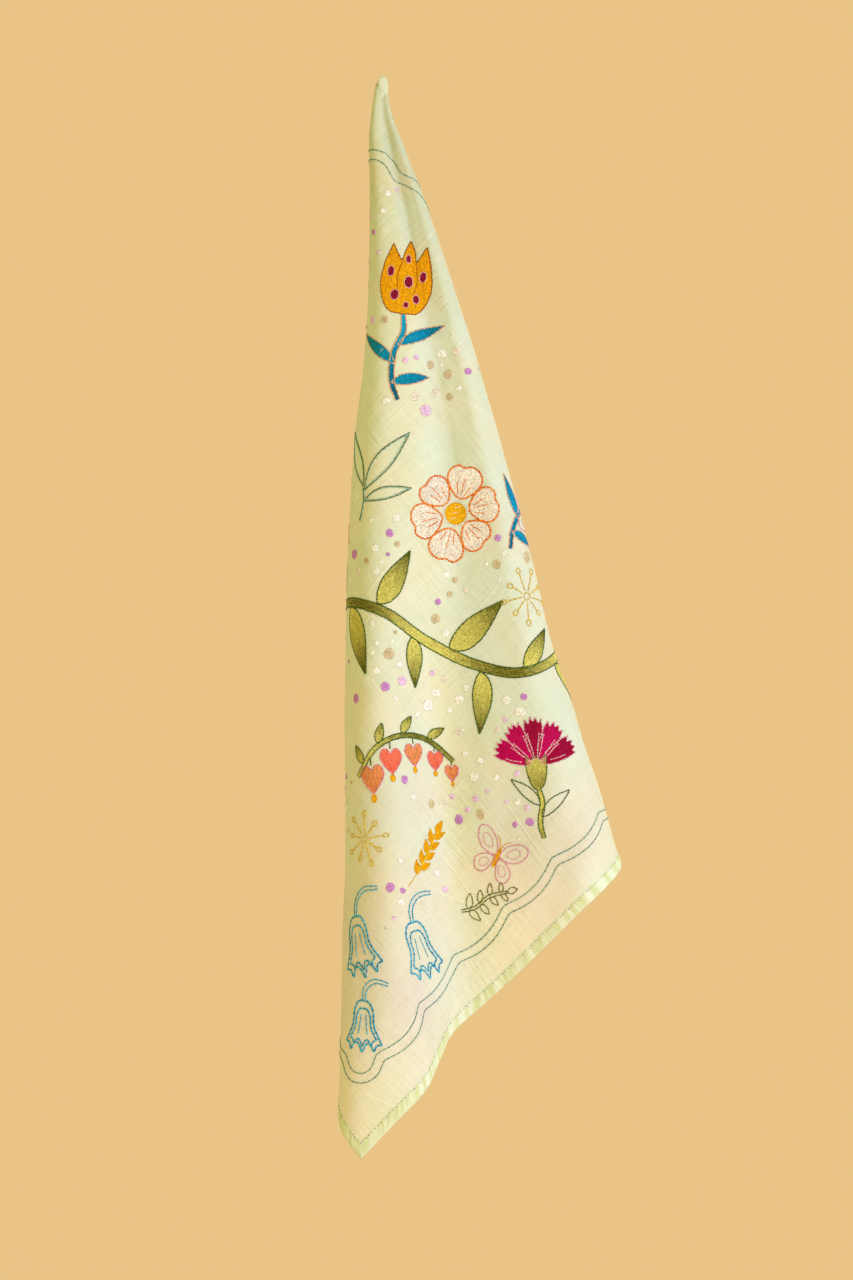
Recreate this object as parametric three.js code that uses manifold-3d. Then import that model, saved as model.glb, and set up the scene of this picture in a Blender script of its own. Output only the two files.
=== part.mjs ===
// A square of thin embroidered cotton that hangs from one of its corners.
// The held corner is the origin, +Z is up, +X is to the right and -Y is the front.
// Every length is in millimetres and every angle in degrees.
//
// Each point of the cloth is named by its polar place on the flat square, seen from
// the held corner: its angle from the square's diagonal and its distance from the
// corner. Hanging cloth keeps that distance, and its folds run down from the corner,
// so a fold is a turn of the cloth's heading at one angle.

import * as THREE from 'three';
import { mergeVertices } from 'three/addons/utils/BufferGeometryUtils.js';
import Module from 'manifold-3d';

const side = 650;              // edge of the hemmed square
const clothThickness = 1;
const hemThickness = 1.6;
const hemWidth = 10;
const hemStep = 1.5;           // the hem rises from the cloth within this width

const halfCorner = 45;         // half the angle of the square's corner
const upperReach = 300;        // the folds keep their upper course down to this distance,
const middleReach = 620;       // have their middle one here and keep it
const hemReach = [710, 860];   // until they turn into the course of the lower hem
const layerRoom = 0.6;         // thickness that a layer may take for each unit of fold size

const innerReach = 9;          // where the sheet starts, inside the gathered tip
const rowCount = 14;
const rowCrowding = 1.35;      // above 1, the rows lie closer together near the tip
const facetTurn = 30;          // most that the heading turns from one column to the next
const facetSpan = 3.6;         // most flat angle from one column to the next
const pathStep = 0.1;          // step of the walk along a section
const courseSteps = 40;        // sections worked out for each unit of the folds' course
const settleRounds = 6;        // rounds in which a point's drop settles
const driftRounds = 4;         // rounds in which a column's angle settles

// The pressed tip: half its width, its depth for each unit of width, and how far its
// middle lies to the right of the held corner.
const tipHalfWidth = 4.6;
const tipFlatness = 0.72;
const tipShift = 0.6;
const tipFacets = 20;
const tipProfile = [
  { drop: -0.6, wide: 0 },
  { drop: 0.3, wide: 0.6 },
  { drop: 2.4, wide: 0.93 },
  { drop: 6, wide: 1 },
  { drop: 12, wide: 0.95 },
  { drop: 21.5, wide: 0.6 },
  { drop: 27, wide: 0 },
];

// Outline of the hanging cloth as seen from the front: the two side folds.
const outline = [
  { drop: 0, left: -3.4, right: 4.6 },
  { drop: 12, left: -5.1, right: 5.3 },
  { drop: 28, left: -7.6, right: 7.9 },
  { drop: 54, left: -10, right: 17.3 },
  { drop: 105, left: -9.4, right: 36.8 },
  { drop: 173, left: -10.2, right: 59.8 },
  { drop: 241, left: -14.4, right: 81 },
  { drop: 309, left: -22.6, right: 100.6 },
  { drop: 394, left: -27, right: 123.6 },
  { drop: 497, left: -29.8, right: 148.8 },
  { drop: 547, left: -30.4, right: 166 },
  { drop: 672, left: -29.6, right: 204.6 },
  { drop: 735, left: -32.3, right: 224 },
  { drop: 900, left: -34.6, right: 273 },
];

// Headings of the front panel, from its left side fold to its right one. A heading
// of 0 runs straight across to the right, 90 runs away from the viewer and -90
// towards the viewer. Each row follows one fold line from its upper to its lower
// angle, with its headings at the top, in the middle and at the lower hem.
const frontHeadings = [
  { upper: -10.6, lower: -9.6, high: -184, middle: -184, hem: -184 },
  { upper: -7.8, lower: -6.4, high: -158, middle: -162, hem: -136 },
  { upper: -4.5, lower: -2.4, high: -90, middle: -90, hem: -90 },    // left side fold
  { upper: -1.2, lower: 0, high: -66, middle: -56, hem: -24 },
  { upper: 1.2, lower: 2.2, high: -48, middle: -26, hem: 2 },
  { upper: 3.6, lower: 3.6, high: -22, middle: 8, hem: 34 },
  { upper: 5, lower: 4.6, high: -10, middle: 32, hem: 62 },          // swell, and a bend
  { upper: 8.2, lower: 7.2, high: 4, middle: 34, hem: 72 },          // at the hem
  { upper: 9.6, lower: 8.6, high: 18, middle: -4, hem: 32 },
  { upper: 11.2, lower: 10, high: 30, middle: -22, hem: 0 },
  { upper: 14.2, lower: 14.2, high: -14, middle: -19, hem: -4 },     // shallow hollow
  { upper: 17.5, lower: 17.2, high: -20, middle: -13, hem: -22 },
  { upper: 19.8, lower: 19.4, high: 34, middle: 18, hem: 14 },
  { upper: 21.8, lower: 21.6, high: 56, middle: 52, hem: 50 },
  { upper: 23, lower: 23.2, high: 90, middle: 90, hem: 90 },         // right side fold
  { upper: 26.8, lower: 27, high: 168, middle: 168, hem: 168 },
];
const leftFold = frontHeadings[2];
const rightFold = frontHeadings[14];

// Pleats behind the front panel, from the left edge of the square to the front panel
// and from the front panel to the right edge: where each one turns back.
const leftPleats = [
  { upper: -40.6, lower: -39 },
  { upper: -32.4, lower: -30.4 },
  { upper: -24, lower: -22 },
  { upper: -15.6, lower: -13.4 },
];
const rightPleats = [
  { upper: 34.2, lower: 34.3 },
  { upper: 42.7, lower: 42.7 },
];
const pleatHalfSpan = 1.4;     // flat angle from the middle of a pleat's turn to its end
const pleatEase = 9;           // heading left when a pleat's turn ends
const layerSway = 4;           // how far a layer leans past straight between two pleats

const toRadians = Math.PI / 180;
const mix = (from, to, share) => from + (to - from) * share;
const clamp = (value, low, high) => Math.min(high, Math.max(low, value));

// A station with the same heading all the way down.
function evenStation(upper, lower, heading) {
  return { upper, lower, high: heading, middle: heading, hem: heading };
}

// The stations of one group of pleats. A layer's heading alternates between 0 and
// half a turn, through `sense` times 90, and is half a turn on the first layer.
function pleatStations(pleats, sense) {
  const stations = [];
  pleats.forEach((pleat, index) => {
    const before = index % 2 === 0 ? sense * 180 : 0;
    const after = sense * 180 - before;
    const lean = Math.sign(after - before);
    const headings = [before + lean * pleatEase, sense * 90, after - lean * pleatEase];
    headings.forEach((heading, place) => {
      const shift = (place - 1) * pleatHalfSpan;
      stations.push(evenStation(pleat.upper + shift, pleat.lower + shift, heading));
    });
    const next = pleats[index + 1];
    if (next) {
      const upper = mix(pleat.upper, next.upper, 0.5);
      const lower = mix(pleat.lower, next.lower, 0.5);
      stations.push(evenStation(upper, lower, after + lean * layerSway));
    }
  });
  return stations;
}

const stations = [
  evenStation(-halfCorner, -halfCorner, -168),
  ...pleatStations(leftPleats, -1),
  ...frontHeadings,
  evenStation(29.6, 29.8, 184),
  ...pleatStations(rightPleats, 1),
  evenStation(halfCorner, halfCorner, 170),
];

// A smooth curve through a table's values that never overshoots them.
function smoothTable(places, values) {
  const count = places.length;
  const gaps = [];
  const rises = [];
  for (let i = 0; i < count - 1; i += 1) {
    gaps.push(places[i + 1] - places[i]);
    rises.push((values[i + 1] - values[i]) / gaps[i]);
  }
  const slopes = [rises[0]];
  for (let i = 1; i < count - 1; i += 1) {
    const before = 2 * gaps[i] + gaps[i - 1];
    const after = gaps[i] + 2 * gaps[i - 1];
    const turns = rises[i - 1] * rises[i] <= 0;
    slopes.push(turns ? 0 : (before + after) / (before / rises[i - 1] + after / rises[i]));
  }
  slopes.push(rises[count - 2]);
  return (place) => {
    let i = 0;
    while (i < count - 2 && place > places[i + 1]) i += 1;
    const t = (place - places[i]) / gaps[i];
    const hump = 1 - t;
    return values[i] * hump * hump * (1 + 2 * t) + values[i + 1] * t * t * (3 - 2 * t)
      + gaps[i] * t * hump * (slopes[i] * hump - slopes[i + 1] * t);
  };
}

const drops = outline.map((row) => row.drop);
const leftAt = smoothTable(drops, outline.map((row) => row.left));
const rightAt = smoothTable(drops, outline.map((row) => row.right));

function ease(value, from, to) {
  const t = clamp((value - from) / (to - from), 0, 1);
  return t * t * (3 - 2 * t);
}

// The course of the folds at this distance: 0 high up, 1 in the middle, 2 at the hem.
const courseAt = (reach) => ease(reach, upperReach, middleReach) + ease(reach, ...hemReach);

const angleOn = (row, course) => mix(row.upper, row.lower, Math.min(course, 1));
const headingOn = (row, course) => (course < 1
  ? mix(row.high, row.middle, course)
  : mix(row.middle, row.hem, course - 1));

// The section of one course: walking along the cloth from its left edge, how far
// across and how deep each angle lies, in degrees as seen from the held corner.
function walkSection(course) {
  const places = stations.map((row) => angleOn(row, course));
  const headingAt = smoothTable(places, stations.map((row) => headingOn(row, course)));
  const section = [{ across: 0, deep: 0 }];
  const stepCount = Math.round(2 * halfCorner / pathStep);
  for (let i = 0; i < stepCount; i += 1) {
    const heading = headingAt(-halfCorner + (i + 0.5) * pathStep) * toRadians;
    const last = section[i];
    section.push({
      across: last.across + Math.cos(heading) * pathStep,
      deep: last.deep + Math.sin(heading) * pathStep,
    });
  }
  return section;
}

const sections = [];
for (let index = 0; index <= 2 * courseSteps; index += 1) sections.push(walkSection(index / courseSteps));

function onSection(section, angle) {
  const place = (angle + halfCorner) / pathStep;
  const index = clamp(Math.floor(place), 0, section.length - 2);
  const rest = place - index;
  return {
    across: mix(section[index].across, section[index + 1].across, rest),
    deep: mix(section[index].deep, section[index + 1].deep, rest),
  };
}

// The cloth near the diagonal is longer, so it weighs more in the balance below.
const edgeDistance = (angle) => 1 / Math.cos((halfCorner - Math.abs(angle)) * toRadians);

// The weighed depth of a section, which hangs right below the held corner.
function balanceDepth(section) {
  let moment = 0;
  let weight = 0;
  section.forEach((point, index) => {
    const share = edgeDistance(index * pathStep - halfCorner) ** 2;
    moment += share * point.deep;
    weight += share;
  });
  return moment / weight;
}

// Where each section has its side folds, and the depth of its middle.
const frames = sections.map((section, index) => {
  const left = onSection(section, angleOn(leftFold, index / courseSteps)).across;
  const right = onSection(section, angleOn(rightFold, index / courseSteps)).across;
  return { left, width: right - left, middle: balanceDepth(section) };
});

// The place in space of the point at this angle and distance on the flat square.
function hang(angle, reach) {
  const place = courseAt(reach) * courseSteps;
  const index = Math.min(Math.floor(place), sections.length - 2);
  const rest = place - index;
  const near = onSection(sections[index], angle);
  const far = onSection(sections[index + 1], angle);
  const width = mix(frames[index].width, frames[index + 1].width, rest);
  const across = mix(near.across - frames[index].left, far.across - frames[index + 1].left, rest);
  const deep = mix(near.deep - frames[index].middle, far.deep - frames[index + 1].middle, rest);
  let drop = reach;
  let foldSize = 0;
  const point = new THREE.Vector3();
  for (let round = 0; round < settleRounds; round += 1) {
    foldSize = (rightAt(drop) - leftAt(drop)) / width;
    point.x = leftAt(drop) + across * foldSize;
    point.y = deep * foldSize;
    drop = Math.sqrt(Math.max(0, reach * reach - point.x * point.x - point.y * point.y));
  }
  point.z = -drop;
  return { point, foldSize };
}

// Columns follow the folds: they are set out between the stations, closer where the
// cloth turns, and drift with the folds from their upper to their lower angles.
function layOutColumns() {
  const columns = [];
  for (let i = 0; i < stations.length - 1; i += 1) {
    const from = stations[i];
    const to = stations[i + 1];
    const turns = ['high', 'middle', 'hem'].map((level) => Math.abs(to[level] - from[level]));
    const span = Math.max(to.upper - from.upper, to.lower - from.lower);
    const parts = Math.ceil(Math.max(Math.max(...turns) / facetTurn, span / facetSpan));
    for (let part = 0; part < parts; part += 1) {
      columns.push({
        upper: mix(from.upper, to.upper, part / parts),
        lower: mix(from.lower, to.lower, part / parts),
      });
    }
  }
  columns.push({ upper: halfCorner, lower: halfCorner });
  return columns;
}

// Rows run parallel to the two lower edges of the square. The last one is the hem.
function layOutRows() {
  const rows = [];
  for (let i = 0; i <= rowCount; i += 1) {
    rows.push(mix(innerReach, side - hemWidth - hemStep, (i / rowCount) ** rowCrowding));
  }
  rows.push(side - hemWidth, side);
  return rows;
}

const reachOf = (row, angle) => row * edgeDistance(angle);

function columnAngle(column, row) {
  let angle = column.upper;
  for (let round = 0; round < driftRounds; round += 1) {
    angle = angleOn(column, courseAt(reachOf(row, angle)));
  }
  return angle;
}

function thicknessAt(angle, row, foldSize) {
  const fromSideEdge = reachOf(row, angle) * Math.sin((halfCorner - Math.abs(angle)) * toRadians);
  const isHem = row >= side - hemWidth || fromSideEdge < hemWidth;
  return Math.min(isHem ? hemThickness : clothThickness, layerRoom * foldSize);
}

// The cloth as a closed mesh: a front skin, a back skin and the rim between them.
function makeSheet() {
  const columns = layOutColumns();
  const rows = layOutRows();
  const grid = rows.map((row) => columns.map((column) => {
    const angle = columnAngle(column, row);
    const { point, foldSize } = hang(angle, reachOf(row, angle));
    return { point, thickness: thicknessAt(angle, row, foldSize) };
  }));
  const across = columns.length;
  const down = rows.length;
  const at = (i, j) => grid[clamp(i, 0, down - 1)][clamp(j, 0, across - 1)];
  const skins = [[], []];
  for (let i = 0; i < down; i += 1) {
    for (let j = 0; j < across; j += 1) {
      const along = at(i, j + 1).point.clone().sub(at(i, j - 1).point);
      const below = at(i + 1, j).point.clone().sub(at(i - 1, j).point);
      const front = below.cross(along).normalize();
      const { point, thickness } = at(i, j);
      skins[0].push(point.clone().addScaledVector(front, thickness / 2));
      skins[1].push(point.clone().addScaledVector(front, -thickness / 2));
    }
  }
  const positions = [...skins[0], ...skins[1]].flatMap((point) => point.toArray());
  const backStart = across * down;
  const triangles = [];
  const quad = (a, b, c, d) => triangles.push(a, b, c, a, c, d);
  const number = (i, j) => i * across + j;
  for (let i = 0; i < down - 1; i += 1) {
    for (let j = 0; j < across - 1; j += 1) {
      const corners = [number(i, j), number(i + 1, j), number(i + 1, j + 1), number(i, j + 1)];
      quad(...corners);
      // The back skin is split along the same diagonal, so the skins never cross.
      const [first, second, third, fourth] = corners.map((corner) => corner + backStart);
      quad(first, fourth, third, second);
    }
  }
  const rim = [];
  for (let j = 0; j < across - 1; j += 1) rim.push(number(0, j));
  for (let i = 0; i < down - 1; i += 1) rim.push(number(i, across - 1));
  for (let j = across - 1; j > 0; j -= 1) rim.push(number(down - 1, j));
  for (let i = down - 1; i > 0; i -= 1) rim.push(number(i, 0));
  rim.forEach((corner, index) => {
    const next = rim[(index + 1) % rim.length];
    quad(corner, next, next + backStart, corner + backStart);
  });
  const geometry = new THREE.BufferGeometry();
  geometry.setAttribute('position', new THREE.Float32BufferAttribute(positions, 3));
  geometry.setIndex(triangles);
  return geometry;
}

// The held corner itself, where the hems and the first folds are pressed into one.
function makeTip() {
  const profile = tipProfile.map((row) => new THREE.Vector2(row.wide * tipHalfWidth, -row.drop));
  const geometry = new THREE.LatheGeometry(profile.reverse(), tipFacets);
  geometry.rotateX(Math.PI / 2);
  geometry.scale(1, tipFlatness, 1);
  geometry.translate(tipShift, 0, 0);
  return geometry;
}

const wasm = await Module();
wasm.setup();

function toSolid(geometry) {
  const bare = geometry.clone();
  bare.deleteAttribute('normal');
  bare.deleteAttribute('uv');
  const merged = mergeVertices(bare);
  return new wasm.Manifold(new wasm.Mesh({
    numProp: 3,
    vertProperties: new Float32Array(merged.attributes.position.array),
    triVerts: new Uint32Array(merged.index.array),
  }));
}

function toGeometry(solid) {
  const mesh = solid.getMesh();
  const geometry = new THREE.BufferGeometry();
  geometry.setAttribute('position', new THREE.BufferAttribute(mesh.vertProperties, 3));
  geometry.setIndex(new THREE.BufferAttribute(mesh.triVerts, 1));
  geometry.computeVertexNormals();
  return geometry;
}

const paleGreenCotton = new THREE.MeshStandardMaterial({ color: 0xd9dfb0, roughness: 0.82, metalness: 0 });

const cloth = toSolid(makeSheet()).add(toSolid(makeTip()));
const scarf = new THREE.Mesh(toGeometry(cloth), paleGreenCotton);
scarf.name = 'scarf';

const group = new THREE.Group();
group.add(scarf);

export default group;
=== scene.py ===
import math

import bpy
import numpy as np
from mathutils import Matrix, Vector


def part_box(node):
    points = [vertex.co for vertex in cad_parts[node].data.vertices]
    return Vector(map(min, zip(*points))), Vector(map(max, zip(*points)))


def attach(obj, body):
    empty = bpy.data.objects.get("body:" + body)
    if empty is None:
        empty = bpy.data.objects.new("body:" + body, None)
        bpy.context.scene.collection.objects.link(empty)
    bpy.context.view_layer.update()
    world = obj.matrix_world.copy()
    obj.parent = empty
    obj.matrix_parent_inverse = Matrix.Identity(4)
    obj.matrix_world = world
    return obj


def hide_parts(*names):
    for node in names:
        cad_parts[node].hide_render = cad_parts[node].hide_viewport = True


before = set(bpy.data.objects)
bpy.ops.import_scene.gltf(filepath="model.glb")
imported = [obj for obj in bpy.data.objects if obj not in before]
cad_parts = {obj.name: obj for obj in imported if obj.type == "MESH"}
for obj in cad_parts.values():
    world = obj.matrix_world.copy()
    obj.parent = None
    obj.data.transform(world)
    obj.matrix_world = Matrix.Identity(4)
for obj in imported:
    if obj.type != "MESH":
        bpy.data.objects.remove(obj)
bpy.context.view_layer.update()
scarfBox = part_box("scarf")

mm = 0.001                     # the tables are in millimetres and degrees, the meshes in metres
halfCorner = 45                # from the square's diagonal to the edges of the held corner
random = np.random.default_rng(11)


def deselectAll():
    if bpy.context.mode != "OBJECT":
        bpy.ops.object.mode_set(mode="OBJECT")
    bpy.ops.object.select_all(action="DESELECT")


def selectOnly(piece):
    deselectAll()
    piece.select_set(True)
    bpy.context.view_layer.objects.active = piece


def editPoints(piece, wanted):  # opens edit mode with just the points selected that are wanted
    bpy.ops.object.mode_set(mode="EDIT")
    bpy.ops.mesh.select_mode(type="VERT")
    bpy.ops.mesh.select_all(action="DESELECT")
    bpy.ops.object.mode_set(mode="OBJECT")
    for vertex in piece.data.vertices:
        vertex.select = wanted(vertex.co)
    bpy.ops.object.mode_set(mode="EDIT")


def applyModifier(piece, kind, **settings):
    bpy.ops.object.modifier_add(type=kind)
    modifier = piece.modifiers[-1]
    for name, value in settings.items():
        setattr(modifier, name, value)
    bpy.ops.object.modifier_apply(modifier=modifier.name)


def finishShell():             # in edit mode: all faces outwards, then smooth
    bpy.ops.mesh.select_all(action="SELECT")
    bpy.ops.mesh.normals_make_consistent(inside=False)
    bpy.ops.object.mode_set(mode="OBJECT")
    bpy.ops.object.shade_smooth()


def hexColour(text):           # from a paint chip's rrggbb to the linear colour a shader takes
    parts = [int(text[i:i + 2], 16) / 255 for i in (0, 2, 4)]
    linear = [c / 12.92 if c < 0.04045 else ((c + 0.055) / 1.055) ** 2.4 for c in parts]
    return (*linear, 1.0)


# Camera and light

view = {
    "distance": 5.2,           # from the plane of the held corner
    "across": 38.8 * mm,       # where the level line of sight passes the cloth
    "height": -479.7 * mm,
    "frameHeight": 1090.6 * mm,
    "sensor": 36,
    "farthest": 50,
}
bpy.ops.object.camera_add(location=(view["across"], -view["distance"], view["height"]),
                          rotation=(math.pi / 2, 0, 0))
camera = bpy.context.object
camera.name = "camera"
camera.data.sensor_width = view["sensor"]
camera.data.lens = view["sensor"] * view["distance"] / view["frameHeight"]
camera.data.clip_end = view["farthest"]
bpy.context.scene.camera = camera
bpy.context.scene.view_settings.view_transform = "Standard"  # keeps the thread colours clear

studio = {
    "key": {"place": (2.3, -2.4, -0.1), "size": 1.1, "power": 108, "colour": "d9e1ff"},
    "fill": {"place": (-2.6, -2.2, 0.1), "size": 2.2, "power": 25, "colour": "ffe6a0"},
    "back": {"place": (0.9, 2.4, 0.2), "size": 2.0, "power": 50, "colour": "ffe9b0"},
    "aim": (0.06, 0.0, -0.5),
}
for name in ("key", "fill", "back"):
    lamp = studio[name]
    bpy.ops.object.light_add(type="AREA", location=lamp["place"])
    light = bpy.context.object
    light.name = name + "Light"
    light.data.size = lamp["size"]
    light.data.energy = lamp["power"]
    light.data.color = hexColour(lamp["colour"])[:3]
    towards = Vector(studio["aim"]) - Vector(lamp["place"])
    light.rotation_euler = towards.to_track_quat("-Z", "Y").to_euler()
print("camera and lights ready")


# Shader maths: an output socket that can be used like a number

class Wire:
    def __init__(self, tree, socket=None):
        self.tree = tree
        self.socket = socket

    def add(self, kind, settings=None, inputs=None, output=0):
        node = self.tree.nodes.new(kind)
        for name, value in (settings or {}).items():
            setattr(node, name, value)
        for name, value in (inputs or {}).items():
            if isinstance(value, Wire):
                self.tree.links.new(value.socket, node.inputs[name])
            else:
                node.inputs[name].default_value = value
        return Wire(self.tree, node.outputs[output]) if node.outputs else None

    def maths(self, operation, *values):
        return self.add("ShaderNodeMath", {"operation": operation}, dict(enumerate(values)))

    def __add__(self, other):
        return self.maths("ADD", self, other)

    def __sub__(self, other):
        return self.maths("SUBTRACT", self, other)

    def __rsub__(self, other):
        return self.maths("SUBTRACT", other, self)

    def __mul__(self, other):
        return self.maths("MULTIPLY", self, other)

    __radd__ = __add__
    __rmul__ = __mul__

    def between(self, low, high):  # 0 below low, 1 above high, smooth between them
        settings = {"interpolation_type": "SMOOTHSTEP"}
        return self.add("ShaderNodeMapRange", settings, {"Value": self, "From Min": low, "From Max": high})

    def blend(self, first, second, kind="MIX"):  # two colours mixed by this factor
        settings = {"data_type": "RGBA", "blend_type": kind}
        return self.add("ShaderNodeMix", settings, {0: self, 6: first, 7: second}, 2)


def newMaterial(name):
    material = bpy.data.materials.new(name)
    material.use_nodes = True
    material.node_tree.nodes.clear()
    return material, Wire(material.node_tree)


def bumps(*layers):            # one bump over another, each from its height and its depth in metres
    bump = None
    for height, depth in layers:
        under = {"Normal": bump} if bump else {}
        bump = height.add("ShaderNodeBump", {}, {
            "Strength": 0.5, "Distance": depth, "Height": height, **under})
    return bump


# The drape: where each point of the flat square hangs
# A point of the cloth is named by its angle from the square's diagonal and its reach,
# its distance from the held corner. Folds run down from the corner, so each one is a
# turn of the cloth's heading at one angle.

drape = {
    "side": 650,
    "upperReach": 300,         # the folds keep their upper course down to here,
    "middleReach": 620,        # have their middle one here
    "hemReach": (710, 860),    # and turn into the course of the lower hem
    "walkStep": 0.1,
    "courseSteps": 40,
    "settleRounds": 6,
    # drop, left and right outline
    "outline": [
        (0, -3.4, 4.6), (12, -5.1, 5.3), (28, -7.6, 7.9), (54, -10, 17.3), (105, -9.4, 36.8),
        (173, -10.2, 59.8), (241, -14.4, 81), (309, -22.6, 100.6), (394, -27, 123.6),
        (497, -29.8, 148.8), (547, -30.4, 166), (672, -29.6, 204.6), (735, -32.3, 224),
        (900, -34.6, 273),
    ],
    # upper and lower angle of a fold line, and its headings high, in the middle, at the hem
    "front": [
        (-10.6, -9.6, -184, -184, -184),
        (-7.8, -6.4, -158, -162, -136),
        (-4.5, -2.4, -90, -90, -90),       # left side fold
        (-1.2, 0, -66, -56, -24),
        (1.2, 2.2, -48, -26, 2),
        (3.6, 3.6, -22, 8, 34),
        (5, 4.6, -10, 32, 62),             # swell, and a bend at the hem
        (8.2, 7.2, 4, 34, 72),
        (9.6, 8.6, 18, -4, 32),
        (11.2, 10, 30, -22, 0),
        (14.2, 14.2, -14, -19, -4),        # shallow hollow
        (17.5, 17.2, -20, -13, -22),
        (19.8, 19.4, 34, 18, 14),
        (21.8, 21.6, 56, 52, 50),
        (23, 23.2, 90, 90, 90),            # right side fold
        (26.8, 27, 168, 168, 168),
    ],
    "sideFolds": (2, 14),      # rows of the front table
    # the same facts where the square's two edges run, and behind the right side fold
    "leftEdge": (-halfCorner, -halfCorner, -168, -168, -168),
    "rightEdge": (halfCorner, halfCorner, 170, 170, 170),
    "behindRight": (29.6, 29.8, 184, 184, 184),
    # upper and lower angle at which a pleat behind the front panel turns back
    "leftPleats": [(-40.6, -39), (-32.4, -30.4), (-24, -22), (-15.6, -13.4)],
    "rightPleats": [(34.2, 34.3), (42.7, 42.7)],
    "pleatHalfSpan": 1.4,
    "pleatEase": 9,
    "layerSway": 4,
}


def pleatStations(pleats, sense):
    made = []
    for index, (upper, lower) in enumerate(pleats):
        before = sense * 180 if index % 2 == 0 else 0
        after = sense * 180 - before
        lean = 1 if after > before else -1
        ease = lean * drape["pleatEase"]
        for place, heading in ((-1, before + ease), (0, sense * 90), (1, after - ease)):
            shift = place * drape["pleatHalfSpan"]
            made.append((upper + shift, lower + shift, heading, heading, heading))
        if index + 1 < len(pleats):
            nextUpper, nextLower = pleats[index + 1]
            heading = after + lean * drape["layerSway"]
            made.append(((upper + nextUpper) / 2, (lower + nextLower) / 2, heading, heading, heading))
    return made


stations = np.array([
    drape["leftEdge"],
    *pleatStations(drape["leftPleats"], -1),
    *drape["front"],
    drape["behindRight"],
    *pleatStations(drape["rightPleats"], 1),
    drape["rightEdge"],
], float)


def smoothTable(places, values):  # a smooth curve through a table that never overshoots it
    gaps = np.diff(places)
    rises = np.diff(values) / gaps
    slopes = np.zeros(len(places))
    slopes[0], slopes[-1] = rises[0], rises[-1]
    before = 2 * gaps[1:] + gaps[:-1]
    after = gaps[1:] + 2 * gaps[:-1]
    same = rises[:-1] * rises[1:] > 0
    first = np.where(same, rises[:-1], 1)
    second = np.where(same, rises[1:], 1)
    slopes[1:-1] = np.where(same, (before + after) / (before / first + after / second), 0)

    def curve(place):
        place = np.asarray(place, float)
        i = np.clip(np.searchsorted(places, place) - 1, 0, len(gaps) - 1)
        t = (place - places[i]) / gaps[i]
        hump = 1 - t
        return (values[i] * hump ** 2 * (1 + 2 * t) + values[i + 1] * t ** 2 * (3 - 2 * t)
                + gaps[i] * t * hump * (slopes[i] * hump - slopes[i + 1] * t))
    return curve


def smoothStep(value, low, high):
    t = np.clip((value - low) / (high - low), 0, 1)
    return t * t * (3 - 2 * t)


def courseAt(reach):           # 0 high up, 1 in the middle, 2 at the hem
    return (smoothStep(reach, drape["upperReach"], drape["middleReach"])
            + smoothStep(reach, *drape["hemReach"]))


def levelOf(course, high, middle, hem):
    return np.where(course < 1, high + (middle - high) * course, middle + (hem - middle) * (course - 1))


walkSteps = round(2 * halfCorner / drape["walkStep"])
walkAngles = np.linspace(-halfCorner, halfCorner, walkSteps + 1)


def walkSection(course):       # across and deep of one section, in degrees from the corner
    places = levelOf(course, stations[:, 0], stations[:, 1], stations[:, 1])
    headings = levelOf(course, *stations[:, 2:].T)
    middles = walkAngles[:-1] + drape["walkStep"] / 2
    heading = np.radians(smoothTable(places, headings)(middles))
    return [np.concatenate([[0], np.cumsum(part)]) * drape["walkStep"]
            for part in (np.cos(heading), np.sin(heading))]


def edgeShare(angle):          # the square's edge is this many times its side's distance away
    return 1 / np.cos(np.radians(halfCorner - np.abs(angle)))


courses = np.linspace(0, 2, 2 * drape["courseSteps"] + 1)
sectionAcross, sectionDeep, frontWidth = [], [], []
for course in courses:
    across, deep = walkSection(course)
    sides = [levelOf(course, *np.array(drape["front"][row])[[0, 1, 1]]) for row in drape["sideFolds"]]
    left, right = np.interp(sides, walkAngles, across)
    frontWidth.append(right - left)
    sectionAcross.append(across - left)
    sectionDeep.append(deep - np.average(deep, weights=edgeShare(walkAngles) ** 2))
sectionAcross, sectionDeep, frontWidth = map(np.array, (sectionAcross, sectionDeep, frontWidth))

outline = np.array(drape["outline"], float)
leftAt = smoothTable(outline[:, 0], outline[:, 1])
rightAt = smoothTable(outline[:, 0], outline[:, 2])


def lookUp(table, row, column, down, aside):  # a value between four neighbours in a table
    near = table[row, column] * (1 - aside) + table[row, column + 1] * aside
    far = table[row + 1, column] * (1 - aside) + table[row + 1, column + 1] * aside
    return near * (1 - down) + far * down


def hang(angle, reach):        # the place in space, in millimetres
    place = courseAt(reach) * drape["courseSteps"]
    level = np.minimum(place.astype(int), len(courses) - 2)
    rest = place - level
    spot = (angle + halfCorner) / drape["walkStep"]
    step = np.clip(spot.astype(int), 0, walkSteps - 1)
    across, deep = [lookUp(table, level, step, rest, spot - step) for table in (sectionAcross, sectionDeep)]
    width = frontWidth[level] * (1 - rest) + frontWidth[level + 1] * rest
    drop = reach
    for _ in range(drape["settleRounds"]):
        foldSize = (rightAt(drop) - leftAt(drop)) / width
        x = leftAt(drop) + across * foldSize
        y = deep * foldSize
        drop = np.sqrt(np.maximum(reach ** 2 - x ** 2 - y ** 2, 0))
    return np.stack([x, y, -drop], -1)


print("drape worked out")


# The cloth: a fine grid laid on the drape

cloth = {
    "thickness": 0.45,
    "innerReach": 6,
    "rows": 132,
    "rowCrowding": 1.12,
    "frontAngles": (-9, 27),   # the columns lie closer together in the front panel
    "frontColumns": 168,
    "leftColumns": 90,
    "rightColumns": 46,
}

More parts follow.
